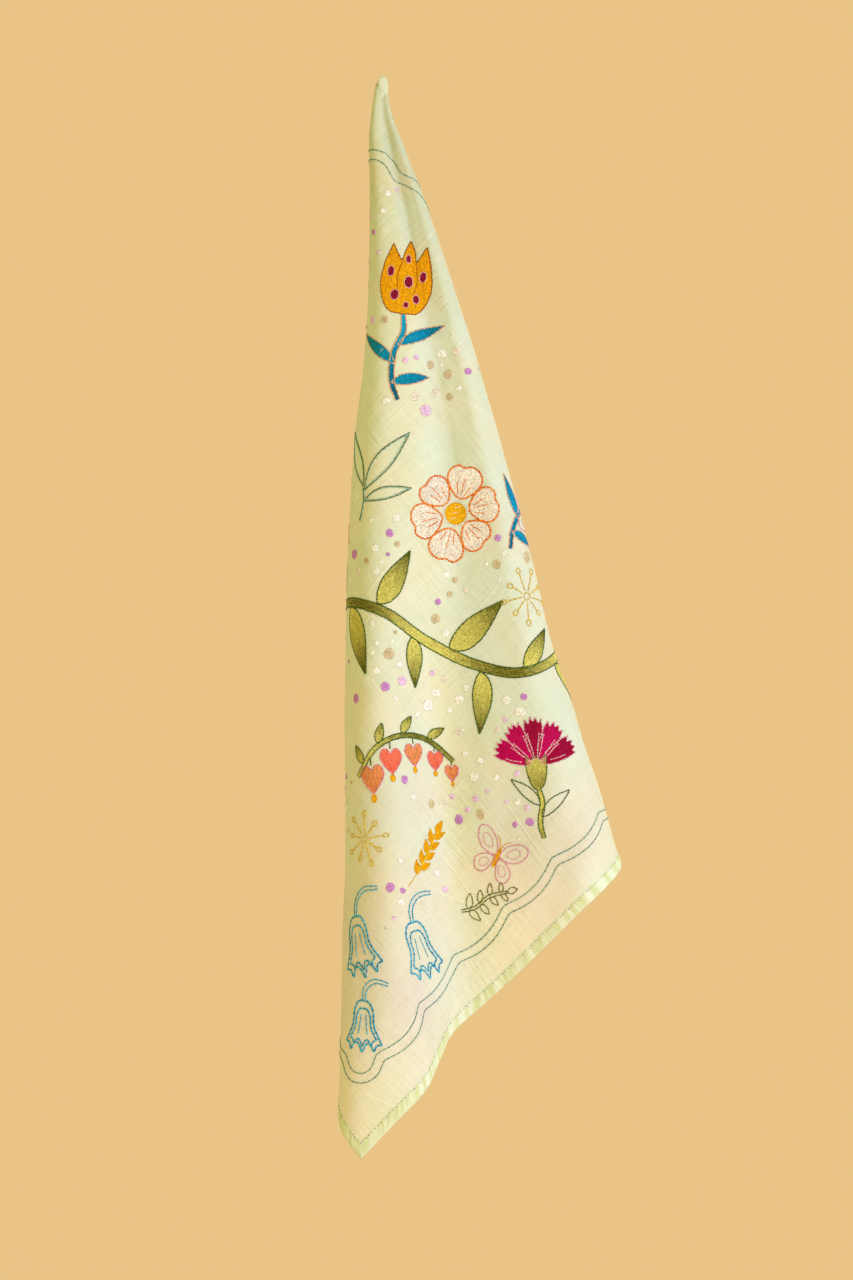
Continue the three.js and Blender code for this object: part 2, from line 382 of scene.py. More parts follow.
columnAngles = np.concatenate([
    np.linspace(-halfCorner, cloth["frontAngles"][0], cloth["leftColumns"], endpoint=False),
    np.linspace(*cloth["frontAngles"], cloth["frontColumns"], endpoint=False),
    np.linspace(cloth["frontAngles"][1], halfCorner, cloth["rightColumns"] + 1),
])
rowShares = np.linspace(0, 1, cloth["rows"] + 1) ** cloth["rowCrowding"]
rowPlaces = cloth["innerReach"] + (drape["side"] - cloth["innerReach"]) * rowShares


def polarOf(flat):             # flat places are (across, down) the square's diagonal
    return np.degrees(np.arctan2(flat[..., 0], flat[..., 1])), np.hypot(flat[..., 0], flat[..., 1])


def flatOf(angle, reach):
    return np.stack([np.sin(np.radians(angle)) * reach, np.cos(np.radians(angle)) * reach], -1)


def edgesOf(flat):             # distances along the two edges that meet at the held corner
    return (flat[..., 1] + flat[..., 0]) / math.sqrt(2), (flat[..., 1] - flat[..., 0]) / math.sqrt(2)


gridAngle, gridRow = np.meshgrid(columnAngles, rowPlaces)
gridReach = gridRow * edgeShare(gridAngle)
gridFlat = flatOf(gridAngle, gridReach)
gridPlace = hang(gridAngle, gridReach)


def gridNormals(places):       # towards the viewer on the front panel
    along = np.gradient(places, axis=1)
    below = np.gradient(places, axis=0)
    normals = np.cross(below, along)
    return normals / np.linalg.norm(normals, axis=-1, keepdims=True)


# Soft unevenness of the hanging cloth, above its main folds
unevenness = {
    "seed": 5,
    "waves": 16,
    "waveHeight": 0.16,
    "waveTurn": 24,            # at most, either way
    "waveLength": (34, 90),
    "slowLength": (70, 160),
    "fadeReach": (60, 320),    # no waves above here, all of them below
    "creaseFade": 0.2,         # share of a crease in which it rises, at each end
    "creaseOver": 0.08,        # and how far it goes past its ends
}

# Each crease: where it starts and ends, its height above the cloth and its half width
creases = [
    ((7, 34), (44, 196), -1.5, 3.4),
    ((3.6, 20), (15, 72), -0.9, 2.6),
    ((60, 250), (84, 330), -0.7, 4),
    ((-20, 380), (48, 306), 0.7, 4),
    ((-6, 96), (10, 116), -0.5, 3),
    ((-8, 136), (12, 150), -0.45, 3),
    ((6, 238), (40, 222), 0.4, 3),
    ((2, 262), (48, 246), -0.4, 3),
    ((-4, 292), (44, 270), 0.35, 3),
    ((52, 300), (88, 282), -0.4, 3),
    ((-8, 560), (36, 505), -0.6, 4),
    ((60, 690), (120, 634), 0.8, 5),
    ((150, 640), (196, 598), 0.6, 5),
    ((40, 742), (96, 690), -0.6, 5),
    ((18, 640), (70, 600), 0.5, 4),
    ((120, 560), (170, 596), 0.5, 4),
    ((-14, 830), (30, 800), 0.8, 5),
    ((10, 862), (52, 812), -0.7, 4),
    ((84, 420), (130, 468), -0.5, 4),
    ((-150, 300), (-90, 360), 0.6, 5),
    ((-260, 520), (-180, 470), 0.6, 5),
    ((300, 500), (250, 420), 0.6, 5),
]


def relief(flat):              # the height of the unevenness at flat places
    across, down = flat[..., 0], flat[..., 1]
    height = np.zeros(across.shape)
    waves = np.random.default_rng(unevenness["seed"])
    for _ in range(unevenness["waves"]):
        turn = math.radians(waves.uniform(-unevenness["waveTurn"], unevenness["waveTurn"]))
        length = waves.uniform(*unevenness["waveLength"])
        phase = waves.uniform(0, 2 * math.pi)
        run = (across * math.cos(turn) + down * math.sin(turn)) / length
        slow = np.sin(down / waves.uniform(*unevenness["slowLength"]) + waves.uniform(0, 6))
        height += unevenness["waveHeight"] * np.sin(2 * math.pi * run + phase) * slow
    height *= smoothStep(polarOf(flat)[1], *unevenness["fadeReach"])
    over, rise = unevenness["creaseOver"], unevenness["creaseFade"]
    for start, end, high, half in creases:
        line = np.array(end) - start
        length = np.hypot(*line)
        share = ((flat - start) @ line) / length ** 2
        off = (flat - start) @ np.array([line[1], -line[0]]) / length
        fade = smoothStep(share, -over, rise) * (1 - smoothStep(share, 1 - rise, 1 + over))
        height += high * fade * np.exp(-(off / half) ** 2)
    return height


gridPlace = gridPlace + gridNormals(gridPlace) * relief(gridFlat)[..., None]
gridNormal = gridNormals(gridPlace)


def onCloth(flat, lift=0.0):   # the place in millimetres and the normal at flat places
    angle, reach = polarOf(flat)
    row = np.interp(reach / edgeShare(angle), rowPlaces, np.arange(len(rowPlaces)))
    column = np.interp(angle, columnAngles, np.arange(len(columnAngles)))
    i = np.minimum(row.astype(int), len(rowPlaces) - 2)
    j = np.minimum(column.astype(int), len(columnAngles) - 2)
    down, aside = (row - i)[..., None], (column - j)[..., None]
    place, normal = [lookUp(table, i, j, down, aside) for table in (gridPlace, gridNormal)]
    normal /= np.linalg.norm(normal, axis=-1, keepdims=True)
    return place + normal * np.asarray(lift)[..., None], normal


def setMap(mesh, name, places):  # a UV map with one place for each vertex
    layer = mesh.uv_layers.new(name=name)
    corners = np.empty(len(mesh.loops), int)
    mesh.loops.foreach_get("vertex_index", corners)
    layer.uv.foreach_set("vector", places.reshape(-1, 2)[corners].astype(np.float32).ravel())


def setFlatMap(mesh, flat):    # the flat square, from 0 to 1 along each edge
    setMap(mesh, "flatCloth", np.stack(edgesOf(flat), -1) / drape["side"])


def setPlaces(mesh, places):
    mesh.vertices.foreach_set("co", (places * mm).astype(np.float32).ravel())
    mesh.update()


deselectAll()
bpy.ops.mesh.primitive_grid_add(x_subdivisions=len(columnAngles) - 1,
                                y_subdivisions=len(rowPlaces) - 1, calc_uvs=False)
scarfCloth = bpy.context.object
scarfCloth.name = "scarfCloth"
setFlatMap(scarfCloth.data, gridFlat)
setPlaces(scarfCloth.data, gridPlace)
selectOnly(scarfCloth)
applyModifier(scarfCloth, "SOLIDIFY", thickness=cloth["thickness"] * mm, offset=0)
bpy.ops.object.shade_smooth()
print("cloth grid has", gridAngle.size, "points")


# The finish of the cotton: thin and slubby, and light shows through it.
cotton = {
    "colours": {
        "pale": "e7efe2",
        "warm": "eeecda",
        "cool": "e0ebd7",
        "blush": "e9dcdb",     # painted glow towards the lower hem, where warm light comes through the single layer
        "bunched": "e4e0c8",   # painted shade, darker towards the held corner where the folds crowd together
        "slub": "b4b48c",
        # painted highlight along the pressed lines
        "pressed": "fbfbf0",
        "glow": "f2eed2",      # light that comes through the cloth
    },
    "translucent": 0.36,
    "edgeTranslucent": 0.2,    # in the hem and the tip, which have more layers
    "roughness": 0.86,
    # patterns: how many to a metre, detail, stretch along the two edges, and where each starts
    "warmPatches": (14, 2, (1, 1), 0),
    "coolPatches": (24, 1, (1, 1), 4),
    "blushPatches": (9, 1, (1, 1), 30),
    "weft": (1000, 0, (1, 0.05), 0),
    "warp": (1000, 0, (0.05, 1), 3),
    "weftSlubs": (330, 1, (1, 0.035), 7),
    "warpSlubs": (330, 1, (0.035, 1), 9),
    "weftPulls": (300, 1, (1, 0.15), 14),
    "warpPulls": (260, 1, (0.15, 1), 15),
    "pullTurns": (13, 0, (1, 1), 12),
    "pullPatches": (26, 0, (1, 1), 17),
    "weftCrumple": (34, 2, (1, 0.4), 5),
    "warpCrumple": (30, 2, (0.4, 1), 2),
    "pressWander": (5, 0, (1, 1), 0),
    "pressBreaks": (11, 0, (1, 1), 2),
    # pressed lines: turn from the weave, metres between them, and where each set starts
    "pressLines": [(7, 0.083, 3), (-64, 0.097, 8), (84, 0.075, 13)],
    # depths in metres of the relief
    "weaveDepth": 0.0009,
    "pullDepth": 0.0017,
    "crumpleDepth": 0.0036,
}


def makeCotton(name, translucent, finishTint=None):
    material, start = newMaterial(name)
    places = start.add("ShaderNodeUVMap", {"uv_map": "flatCloth"})
    size = drape["side"] * mm

    def pattern(kind, shift=0):
        count, detail, stretch, begins = cotton[kind]
        placed = start.add("ShaderNodeMapping", {}, {
            "Vector": places, "Location": (begins + shift, begins + shift, 0), "Scale": (*stretch, 1)})
        return start.add("ShaderNodeTexNoise", {}, {
            "Vector": placed, "Scale": count * size, "Detail": detail, "Roughness": 0.55})

    colours = {shade: hexColour(code) for shade, code in cotton["colours"].items()}
    tint = pattern("warmPatches").between(0.35, 0.68).blend(colours["pale"], colours["warm"])
    tint = (pattern("coolPatches").between(0.5, 0.75) * 0.5).blend(tint, colours["cool"])
    weave = (pattern("weft") + pattern("warp")) * 0.5
    slubs = (pattern("weftSlubs") + pattern("warpSlubs")) * 0.5
    pulled = pattern("pullTurns").between(0.44, 0.66)
    pulls = pattern("weftPulls") * pulled + pattern("warpPulls") * (1 - pulled)
    pulls = pulls * pattern("pullPatches").between(0.36, 0.66)
    creases = []
    for turn, gap, shift in cotton["pressLines"]:  # straight lines, each broken along its run
        placed = start.add("ShaderNodeMapping", {}, {
            "Vector": places, "Rotation": (0, 0, math.radians(turn))})
        across = start.add("ShaderNodeSeparateXYZ", {}, {"Vector": placed}, 0)
        count = start.maths("FRACT", across * (size / gap) + pattern("pressWander", shift) * 0.16)
        line = 1 - start.maths("ABSOLUTE", count - 0.5).between(0.003, 0.014)
        creases.append(line * pattern("pressBreaks", shift).between(0.55, 0.61))
    crease = start.maths("MAXIMUM", start.maths("MAXIMUM", creases[0], creases[1]), creases[2])
    crumple = pattern("weftCrumple") + pattern("warpCrumple")
    right = start.add("ShaderNodeSeparateXYZ", {}, {"Vector": places}, 0)
    left = start.add("ShaderNodeSeparateXYZ", {}, {"Vector": places}, 1)
    down = right + left        # from 0 at the held corner to 2 at the lowest
    # painted glow: warmer towards the lower hem, in patches, for the light that comes through from behind
    patches = pattern("blushPatches").between(0.42, 0.62)
    tint = (down.between(1.15, 1.55) * (0.28 + patches * 0.5)).blend(tint, colours["blush"])
    # painted shade: the cloth is multiplied darker towards the held corner
    bunched = 1 - down.between(0.05, 0.6)
    tint = (bunched * 0.6).blend(tint, colours["bunched"], "MULTIPLY")
    shade = weave.between(0.4, 0.62) * 0.08 + slubs.between(0.48, 0.62) * 0.08
    tint = shade.blend(tint, colours["slub"], "MULTIPLY")
    # painted highlight: the pressed lines are lightened
    tint = (crease * 0.5).blend(tint, colours["pressed"])
    bump = bumps((weave * 0.6 + slubs, cotton["weaveDepth"]),
                 (pulls + crease * 0.35, cotton["pullDepth"]),
                 (crumple, cotton["crumpleDepth"]))
    if finishTint:
        tint = finishTint(start, tint)
    fabric = start.add("ShaderNodeBsdfPrincipled", {}, {
        "Base Color": tint, "Roughness": cotton["roughness"], "Normal": bump,
        "Sheen Weight": 0.15, "Sheen Roughness": 0.5, "Specular IOR Level": 0.2})
    glow = start.add("ShaderNodeBsdfTranslucent", {}, {
        "Color": colours["glow"], "Normal": bump})
    lit = start.add("ShaderNodeMixShader", {}, {0: translucent, 1: fabric, 2: glow})
    start.add("ShaderNodeOutputMaterial", {}, {"Surface": lit})
    return material


scarfCloth.data.materials.append(makeCotton("cottonCloth", cotton["translucent"]))
print("cloth laid out down to", round(gridPlace[..., 2].min() * mm, 4),
      "and the solid goes down to", round(scarfBox[0][2], 4))


# The hem: a narrow folded band along the four edges, mitred at the corners

hem = {
    "width": 10,
    "halfThickness": 0.62,
    "step": 2.2,               # along the band
    "start": 27,               # from the held corner, under the pressed tip
    "puckerSeed": 3,
    "puckerLength": 8.5,
    "puckerShares": (0.72, 1.0, 1.31),
    "puckerHeight": 0.42,
    "stripes": 120,            # to a metre
    "tintShare": 0.85,
    "light": "eaf2da",         # the band is greener than the cloth, with painted light and shade in stripes across its puckers
    "dark": "d4dca0",
    # distance from the edge, and share of the half thickness, round the band's section
    "section": [
        (0, 0), (0.35, 0.75), (1.4, 1.0), (3.6, 1.05), (6.2, 0.95), (8.1, 0.8), (9.1, 0.62), (9.9, 0.7),
        (10.2, 0.3), (10.2, -0.3), (9.9, -0.7), (9.1, -0.62), (8.1, -0.8), (6.2, -0.95), (3.6, -1.05),
        (1.4, -1.0), (0.35, -0.75),
    ],
}


def fromEdges(right, left):    # flat places from distances along the right and the left edge
    return np.stack([right - left, right + left], -1) / math.sqrt(2)


def alongEdges(run, inset):    # run goes from the held corner round all four edges and back
    side = drape["side"]
    edge = np.clip((run / side).astype(int), 0, 3)
    share = run / side - edge
    near, far = inset, side - inset
    there, back = near + (far - near) * share, far - (far - near) * share
    return fromEdges(np.choose(edge, [near, there, far, back]), np.choose(edge, [there, far, back, near]))


def puckers(run):              # uneven little waves along the band
    waves = np.random.default_rng(hem["puckerSeed"])
    height = np.zeros(run.shape)
    for share in hem["puckerShares"]:
        phase = waves.uniform(0, 6) + 0.9 * np.sin(run / waves.uniform(60, 110))
        height += np.sin(2 * math.pi * run / (hem["puckerLength"] * share) + phase)
    return height / 2.2


def hemTintAndPuckerShade(start, tint):      # soft stripes across the band: painted light and shade of its puckers
    band = start.add("ShaderNodeUVMap", {"uv_map": "alongHem"})
    placed = start.add("ShaderNodeMapping", {}, {"Vector": band, "Scale": (1, 0.16, 1)})
    stripes = start.add("ShaderNodeTexNoise", {}, {
        "Vector": placed, "Scale": hem["stripes"], "Detail": 2.0})
    shade = stripes.between(0.38, 0.62).blend(hexColour(hem["dark"]), hexColour(hem["light"]))
    return start.add("ShaderNodeMix", {"data_type": "RGBA", "blend_type": "MIX"}, {
        0: hem["tintShare"], 6: tint, 7: shade}, 2)


hemSteps = round(4 * drape["side"] / hem["step"])
hemRun = np.linspace(hem["start"], 4 * drape["side"] - hem["start"], hemSteps)
section = np.array(hem["section"] + hem["section"][:1], float)
hemRuns, hemInsets = np.meshgrid(hemRun, section[:, 0], indexing="ij")
hemLift = np.broadcast_to(section[:, 1] * hem["halfThickness"], hemRuns.shape)
hemWave = puckers(hemRuns) * hem["puckerHeight"] * smoothStep(hemInsets, 0, 9)
hemFlat = alongEdges(hemRuns, hemInsets)
hemShrink = smoothStep(polarOf(hemFlat)[1], 10, 150) * 0.75 + 0.25  # flatter near the held corner
hemPlace = onCloth(hemFlat, (hemLift + hemWave) * hemShrink)[0]
bpy.ops.mesh.primitive_grid_add(x_subdivisions=len(section) - 1, y_subdivisions=hemSteps - 1)
scarfHem = bpy.context.object
scarfHem.name = "scarfHem"
setFlatMap(scarfHem.data, hemFlat)
setMap(scarfHem.data, "alongHem", np.stack([hemRuns, hemInsets], -1) * mm)  # metres along and in
setPlaces(scarfHem.data, hemPlace)
bpy.ops.object.mode_set(mode="EDIT")
bpy.ops.mesh.select_all(action="SELECT")
bpy.ops.mesh.remove_doubles(threshold=0.00001)
bpy.ops.mesh.select_all(action="DESELECT")
bpy.ops.mesh.select_non_manifold()
bpy.ops.mesh.fill_holes(sides=0)
finishShell()
scarfHem.data.materials.append(makeCotton("cottonHem", cotton["edgeTranslucent"], hemTintAndPuckerShade))
print("hem laid out")


# The held corner itself: its rolled end is a small tongue that closes the top of the folds.
tip = {
    "place": (1.4, -1.7, -11.4),
    "size": (4.9, 3.1, 12.2),
    "square": 0.3,             # how far its round form is pressed towards a block
    "foldsDown": 40,           # how far down the flat cloth its weave starts
    "end": 0.97,               # share of its height below which the foot's points lie
    # the foot narrows and runs down to the right, each step reaching less far up
    "foot": [(2.0, 0.55, 0.36), (1.2, 0.6, 0.3)],
}
deselectAll()
bpy.ops.mesh.primitive_uv_sphere_add(segments=36, ring_count=28, radius=1)
scarfTip = bpy.context.object
scarfTip.name = "scarfTip"
applyModifier(scarfTip, "CAST", cast_type="CUBOID", factor=tip["square"])
lowest = min(vertex.co.z for vertex in scarfTip.data.vertices)
editPoints(scarfTip, lambda place: place.z < lowest * tip["end"])
for spread, width, shift in tip["foot"]:
    soft = {"use_proportional_edit": True, "proportional_edit_falloff": "SMOOTH",
            "proportional_size": spread}
    bpy.ops.transform.resize(value=(width, width, 1), center_override=(0, 0, 0), **soft)
    bpy.ops.transform.translate(value=(shift, 0, 0), **soft)
bpy.ops.object.mode_set(mode="OBJECT")
bpy.ops.transform.resize(value=[part * mm for part in tip["size"]])
bpy.ops.transform.translate(value=[part * mm for part in tip["place"]])
bpy.ops.object.transform_apply(location=True, rotation=True, scale=True)
bpy.ops.object.shade_smooth()
tipPlaces = np.array([vertex.co for vertex in scarfTip.data.vertices]) / mm
setFlatMap(scarfTip.data, np.stack([tipPlaces[:, 0], tip["foldsDown"] - tipPlaces[:, 2]], -1))
scarfTip.data.materials.append(makeCotton("cottonTip", cotton["edgeTranslucent"]))
print("tip laid out")


# Stitches: one is modelled, and each thread piece is many copies of it in one mesh

def modelStitch(sides, rings, blunt):  # a grain, 2 long, 2 wide and 2 high, that lies along X
    deselectAll()
    bpy.ops.mesh.primitive_uv_sphere_add(segments=sides, ring_count=rings, radius=1,
                                         rotation=(0, math.pi / 2, 0))
    bpy.ops.object.transform_apply(location=False, rotation=True, scale=False)
    stitch = bpy.context.object
    editPoints(stitch, lambda place: 0.4 < abs(place.x) < 0.9)
    bpy.ops.transform.resize(value=blunt)  # the ends of the sphere made blunt
    bpy.ops.object.mode_set(mode="OBJECT")
    points = np.array([vertex.co for vertex in stitch.data.vertices])
    faces = [list(face.vertices) for face in stitch.data.polygons]
    bpy.data.objects.remove(stitch)
    return points, faces


lineStitch = modelStitch(5, 4, (1.04, 1.02, 1.02))
fillStitch = modelStitch(4, 3, (1.5, 1.1, 1.1))  # these lie side by side, so only their tops show

shades = {                     # darker and lighter tone of each thread
    "tealGrey": ("4d7468", "8fb8a8"),
    "olive": ("5c5a0c", "dcd472"),
    "leafGreen": ("2b4820", "587a3a"),
    "paleTeal": ("86c4b2", "bfe3d6"),
    "twig": ("444c16", "8a8e36"),
    "orange": ("ea6206", "ff9c3e"),
    "cream": ("d4c6b4", "fcf3e9"),
    "white": ("f8f0e4", "fffcf8"),
    "yellow": ("e09a00", "fcc520"),
    "ochre": ("d68a00", "f6b40c"),
    "rust": ("7c3a08", "a85818"),
    "maroon": ("6a0420", "a0183c"),
    "palePink": ("e7a2b8", "f8d0da"),
    "pink": ("dc78a2", "f0a4c0"),
    "blue": ("005478", "0ca6d4"),
    "skyBlue": ("0884ba", "48c2e4"),
    "paleOrange": ("e29a6a", "f6c49c"),
    "magenta": ("9a0038", "d4046a"),
    "crimson": ("7e0028", "b00244"),
    "coral": ("e05038", "f88468"),
    "peach": ("d4743c", "f0a06a"),
    "gold": ("d4a814", "f4d238"),
    "lilac": ("b066bd", "dca6e0"),
    "paleLilac": ("dfb0e0", "f4d6f2"),
    "greige": ("bba47c", "e4d4b4"),
    "hemGreen": ("587a50", "8aa877"),
}
stitching = {}                 # piece: its stitches so far
drawn = []                     # outlines laid so far, which the dots keep clear of

# Each kind of stitch: its height, how far its middle lies off the cloth, the share of its length
# by which it runs on at each end, how uneven its tone is, and whether others lie on both sides.
# Then its length and width, how its row is laid, and its tone, from 0 dark to 1 light.
stitchKinds = {
    "line": {"height": 1.2, "lift": 0.34, "overlap": 0.02, "uneven": 0.2, "inFill": False,
             "length": 2.7, "width": 1.3, "jitter": 0.08,
             "tone": 0.55, "slowTone": 0.2, "slowLength": 17, "stepTone": 0.32},
    "row": {"height": 0.7, "lift": 0.22, "overlap": 0.16, "uneven": 0.16, "inFill": True,
            "length": 4.2, "width": 1.4, "shortest": 0.3,
            "tone": 0.55, "slowTone": 0.42, "slowLength": 24},
    "fill": {"height": 0.7, "lift": 0.22, "overlap": 0.16, "uneven": 0.13, "inFill": True,
             "length": 4.3, "spacing": 0.88, "cover": 1.6, "shortest": 0.35, "least": 0.5,
             "tone": 0.62, "fadeCurve": 1.8, "fadeMiddle": 0.3},
    "coil": {"height": 0.8, "lift": 0.3, "overlap": 0.2, "uneven": 0.15, "inFill": True,
             "length": 1.7, "width": 1.35, "spacing": 0.85, "rim": 0.4, "innermost": 0.12,
             "tone": 0.35, "rimTone": 0.4},
    "dash": {"height": 2.0, "lift": 0.0, "overlap": 0.0, "uneven": 0.3, "inFill": False,
             "length": (1.9, 2.4), "width": 0.55, "tone": 0.5},
}
lineStitches, fillStitches = stitchKinds["line"], stitchKinds["fill"]


def addStitches(piece, kind, starts, ends, thread, tone, width=None, lift=None, jitter=0.0):
    facts = stitchKinds[kind]
    width = facts["width"] if width is None else width
    lift = facts["lift"] if lift is None else lift
    over = (ends - starts) * facts["overlap"]
    starts, ends = starts - over + jitter, ends + over + jitter
    tone = tone + random.uniform(-facts["uneven"], facts["uneven"], len(starts))
    tone = np.clip(tone, 0, 1)[:, None]
    dark, light = [np.array(hexColour(shade)[:3]) for shade in shades[thread]]
    colour = (dark + (light - dark) * tone) * random.uniform(0.93, 1.07, (len(starts), 1))
    lies = np.tile([width, facts["height"], lift, facts["inFill"]], (len(starts), 1))
    stitching.setdefault(piece, []).append(np.concatenate([starts, ends, lies, colour], 1))


def runAlong(points):          # the distance along a path to each of its points
    return np.concatenate([[0], np.cumsum(np.hypot(*np.diff(points, axis=0).T))])


def pointsAt(points, run, marks):  # the points of a path at these distances along it
    return np.stack([np.interp(marks, run, points[:, k]) for k in (0, 1)], -1)


def brickMarks(start, end, length, shortest):  # where the stitches of one row in a fill end
    inner = np.arange(start + length * random.uniform(shortest, 1.0), end - 1.2, length)
    inner = inner + random.uniform(-0.6, 0.6, len(inner))
    return np.concatenate([[start], inner, [end]])


def slowTone(facts, marks, start):  # a tone that rises and falls slowly along a line
    return facts["tone"] + facts["slowTone"] * np.sin(marks / facts["slowLength"] + start)


def stitchLine(piece, points, thread, length=lineStitches["length"], width=None, lift=None):
    points = np.asarray(points, float)
    drawn.append(points[::3])
    run = runAlong(points)
    count = max(1, round(run[-1] / length))
    marks = np.linspace(0, run[-1], count + 1)
    path = pointsAt(points, run, marks)
    jitter = random.normal(0, lineStitches["jitter"], (count, 2))
    tone = slowTone(lineStitches, marks[:-1], random.uniform(0, 6))
    tone += lineStitches["stepTone"] * (-1.0) ** np.arange(count)
    addStitches(piece, "line", path[:-1], path[1:], thread, tone, width, lift, jitter)


def stitchRow(piece, points, thread):
    facts = stitchKinds["row"]
    run = runAlong(points)
    marks = brickMarks(0, run[-1], facts["length"], facts["shortest"])
    path = pointsAt(points, run, marks)
    addStitches(piece, "row", path[:-1], path[1:], thread, slowTone(facts, marks[:-1], 1.5))


def stitchFill(piece, outlines, thread, base, tip, fade=0.0, lift=None,
               spacing=fillStitches["spacing"], length=fillStitches["length"]):
    # rows of short stitches that run from base towards tip, inside the first outline and
    # outside the others; fade darkens them towards the tip
    base, tip = np.asarray(base, float), np.asarray(tip, float)
    reach = np.hypot(*(tip - base))
    along = (tip - base) / reach
    aside = np.array([-along[1], along[0]])
    edges = []
    for outline in outlines:
        near = np.stack([outline @ along, outline @ aside], -1)
        edges.append(np.concatenate([near, np.roll(near, -1, 0)], 1))
    edges = np.concatenate(edges)
    low, high = edges[:, 1].min(), edges[:, 1].max()
    starts, ends = [], []
    for row in np.arange(low + spacing * 0.4, high, spacing):
        crossing = (edges[:, 1] > row) != (edges[:, 3] > row)
        x0, y0, x1, y1 = edges[crossing].T
        cuts = np.sort(x0 + (row - y0) / (y1 - y0) * (x1 - x0))
        for left, right in zip(cuts[::2], cuts[1::2]):
            if right - left < fillStitches["least"]:
                continue
            marks = brickMarks(left, right, length, fillStitches["shortest"])
            rowPoints = np.stack([marks, np.full(len(marks), row)], -1)
            starts.append(rowPoints[:-1])
            ends.append(rowPoints[1:])
    if not starts:
        return
    turn = np.stack([along, aside])
    starts, ends = np.concatenate(starts) @ turn, np.concatenate(ends) @ turn
    drawn.append(starts[::4])
    share = ((starts + ends) / 2 - base) @ along / reach
    darker = np.abs(share) ** fillStitches["fadeCurve"] - fillStitches["fadeMiddle"]
    width = spacing * fillStitches["cover"]
    addStitches(piece, "fill", starts, ends, thread, fillStitches["tone"] - fade * darker, width, lift)


threadFinish = {
    "strands": 2600,           # to a metre
    "grain": 760,
    "worn": (0.5, 0.45, 0.4, 1),  # what the darkest of the grain is multiplied by: uneven tone of the thread, and painted shade between its strands
    "roughness": 0.55,
    "depth": 0.0003,
}


def makeThread(name):          # each stitch carries its own colour in the attribute
    material, start = newMaterial(name)
    colour = start.add("ShaderNodeAttribute", {"attribute_name": "threadColour"}, {}, "Color")
    place = start.add("ShaderNodeTexCoord", {}, {}, "Object")
    strands, grain = [start.add("ShaderNodeTexNoise", {}, {
        "Vector": place, "Scale": threadFinish[kind], "Detail": 1.0}) for kind in ("strands", "grain")]
    # uneven grain of the thread, and painted shade between its strands
    shade = strands.between(0.35, 0.65) * 0.15 + grain.between(0.4, 0.62) * 0.5
    tint = shade.blend(colour, threadFinish["worn"], "MULTIPLY")
    shader = start.add("ShaderNodeBsdfPrincipled", {}, {
        "Base Color": tint, "Roughness": threadFinish["roughness"],
        "Normal": bumps((strands * 0.5 - grain, threadFinish["depth"])), "Specular IOR Level": 0.08})
    start.add("ShaderNodeOutputMaterial", {}, {"Surface": shader})
    return material


def stitchMesh(rows, template, endShadeDepth):  # points, faces and colours of all these stitches
    points, faces = template
    starts, ends = rows[:, 0:2], rows[:, 2:4]
    width, height, lift = rows[:, 4, None] / 2, rows[:, 5, None] / 2, rows[:, 6]
    near, _ = onCloth(starts, lift)
    far, _ = onCloth(ends, lift)
    middle, normal = onCloth((starts + ends) / 2, lift)
    along = (far - near) / 2
    side = np.cross(normal, along)
    side /= np.linalg.norm(side, axis=1, keepdims=True)
    middle = middle * 0.5 + (near + far) * 0.25
    axes = np.stack([along, side * width, normal * height], 1)
    placed = middle[:, None] + np.einsum("pk,nkx->npx", points, axes)
    firsts = (np.arange(len(rows)) * len(points)).tolist()
    placedFaces = [[corner + first for corner in face] for first in firsts for face in faces]
    mottled = random.uniform(0.98, 1.26, (len(rows), len(points), 1))
    paintedEndShade = 1 - endShadeDepth * np.abs(points[:, 0]) ** 1.5  # painted shade: a stitch is darker towards its ends, where it goes into the cloth
    colours = np.minimum(rows[:, None, 8:11] * mottled * paintedEndShade[:, None], 0.96).reshape(-1, 3)
    return placed.reshape(-1, 3), placedFaces, colours


def makeThreadPiece(name, rows):
    rows = np.concatenate(rows)
    inFill = rows[:, 7] > 0.5
    # painted shade at the stitch ends: more on the line stitches than on the fills
    points, faces, colours = stitchMesh(rows[~inFill], lineStitch, 0.42)
    morePoints, moreFaces, moreColours = stitchMesh(rows[inFill], fillStitch, 0.16)
    faces += [[corner + len(points) for corner in face] for face in moreFaces]
    mesh = bpy.data.meshes.new(name)
    mesh.from_pydata((np.concatenate([points, morePoints]) * mm).tolist(), [], faces)
    colours = np.concatenate([colours, moreColours])
    colours = np.concatenate([colours, np.ones((len(colours), 1))], 1).astype(np.float32)
    mesh.color_attributes.new("threadColour", "FLOAT_COLOR", "POINT").data.foreach_set(
        "color", colours.ravel())
    piece = bpy.data.objects.new(name, mesh)
    bpy.context.collection.objects.link(piece)
    selectOnly(piece)
    bpy.ops.object.mode_set(mode="EDIT")
    finishShell()
    mesh.materials.append(makeThread(name + "Thread"))
    triangles = sum(len(face) - 2 for face in faces)
    print(name, "has", len(rows), "stitches and", triangles, "triangles")
    return piece


# Shapes of the embroidered design, in millimetres, x to the right and y up

leafPoints = 22                # along each side of a leaf


def smoothPath(points, closed=False):
    points = np.asarray(points, float)
    if closed:
        loop = np.concatenate([points[-1:], points, points[:2]])
    else:
        loop = np.concatenate([2 * points[:1] - points[1:2], points, 2 * points[-1:] - points[-2:-1]])
    made = []
    for a, b, c, d in zip(loop, loop[1:], loop[2:], loop[3:]):
        count = max(2, int(np.hypot(*(c - b)) / 1.5) + 1)
        t = np.linspace(0, 1, count, endpoint=False)[:, None]
        made.append(b + (c - a) * t / 2 + (a - 2.5 * b + 2 * c - d / 2) * t ** 2
                    + (1.5 * b - a / 2 - 1.5 * c + d / 2) * t ** 3)
    made.append(points[:1] if closed else points[-1:])
    return np.concatenate(made)


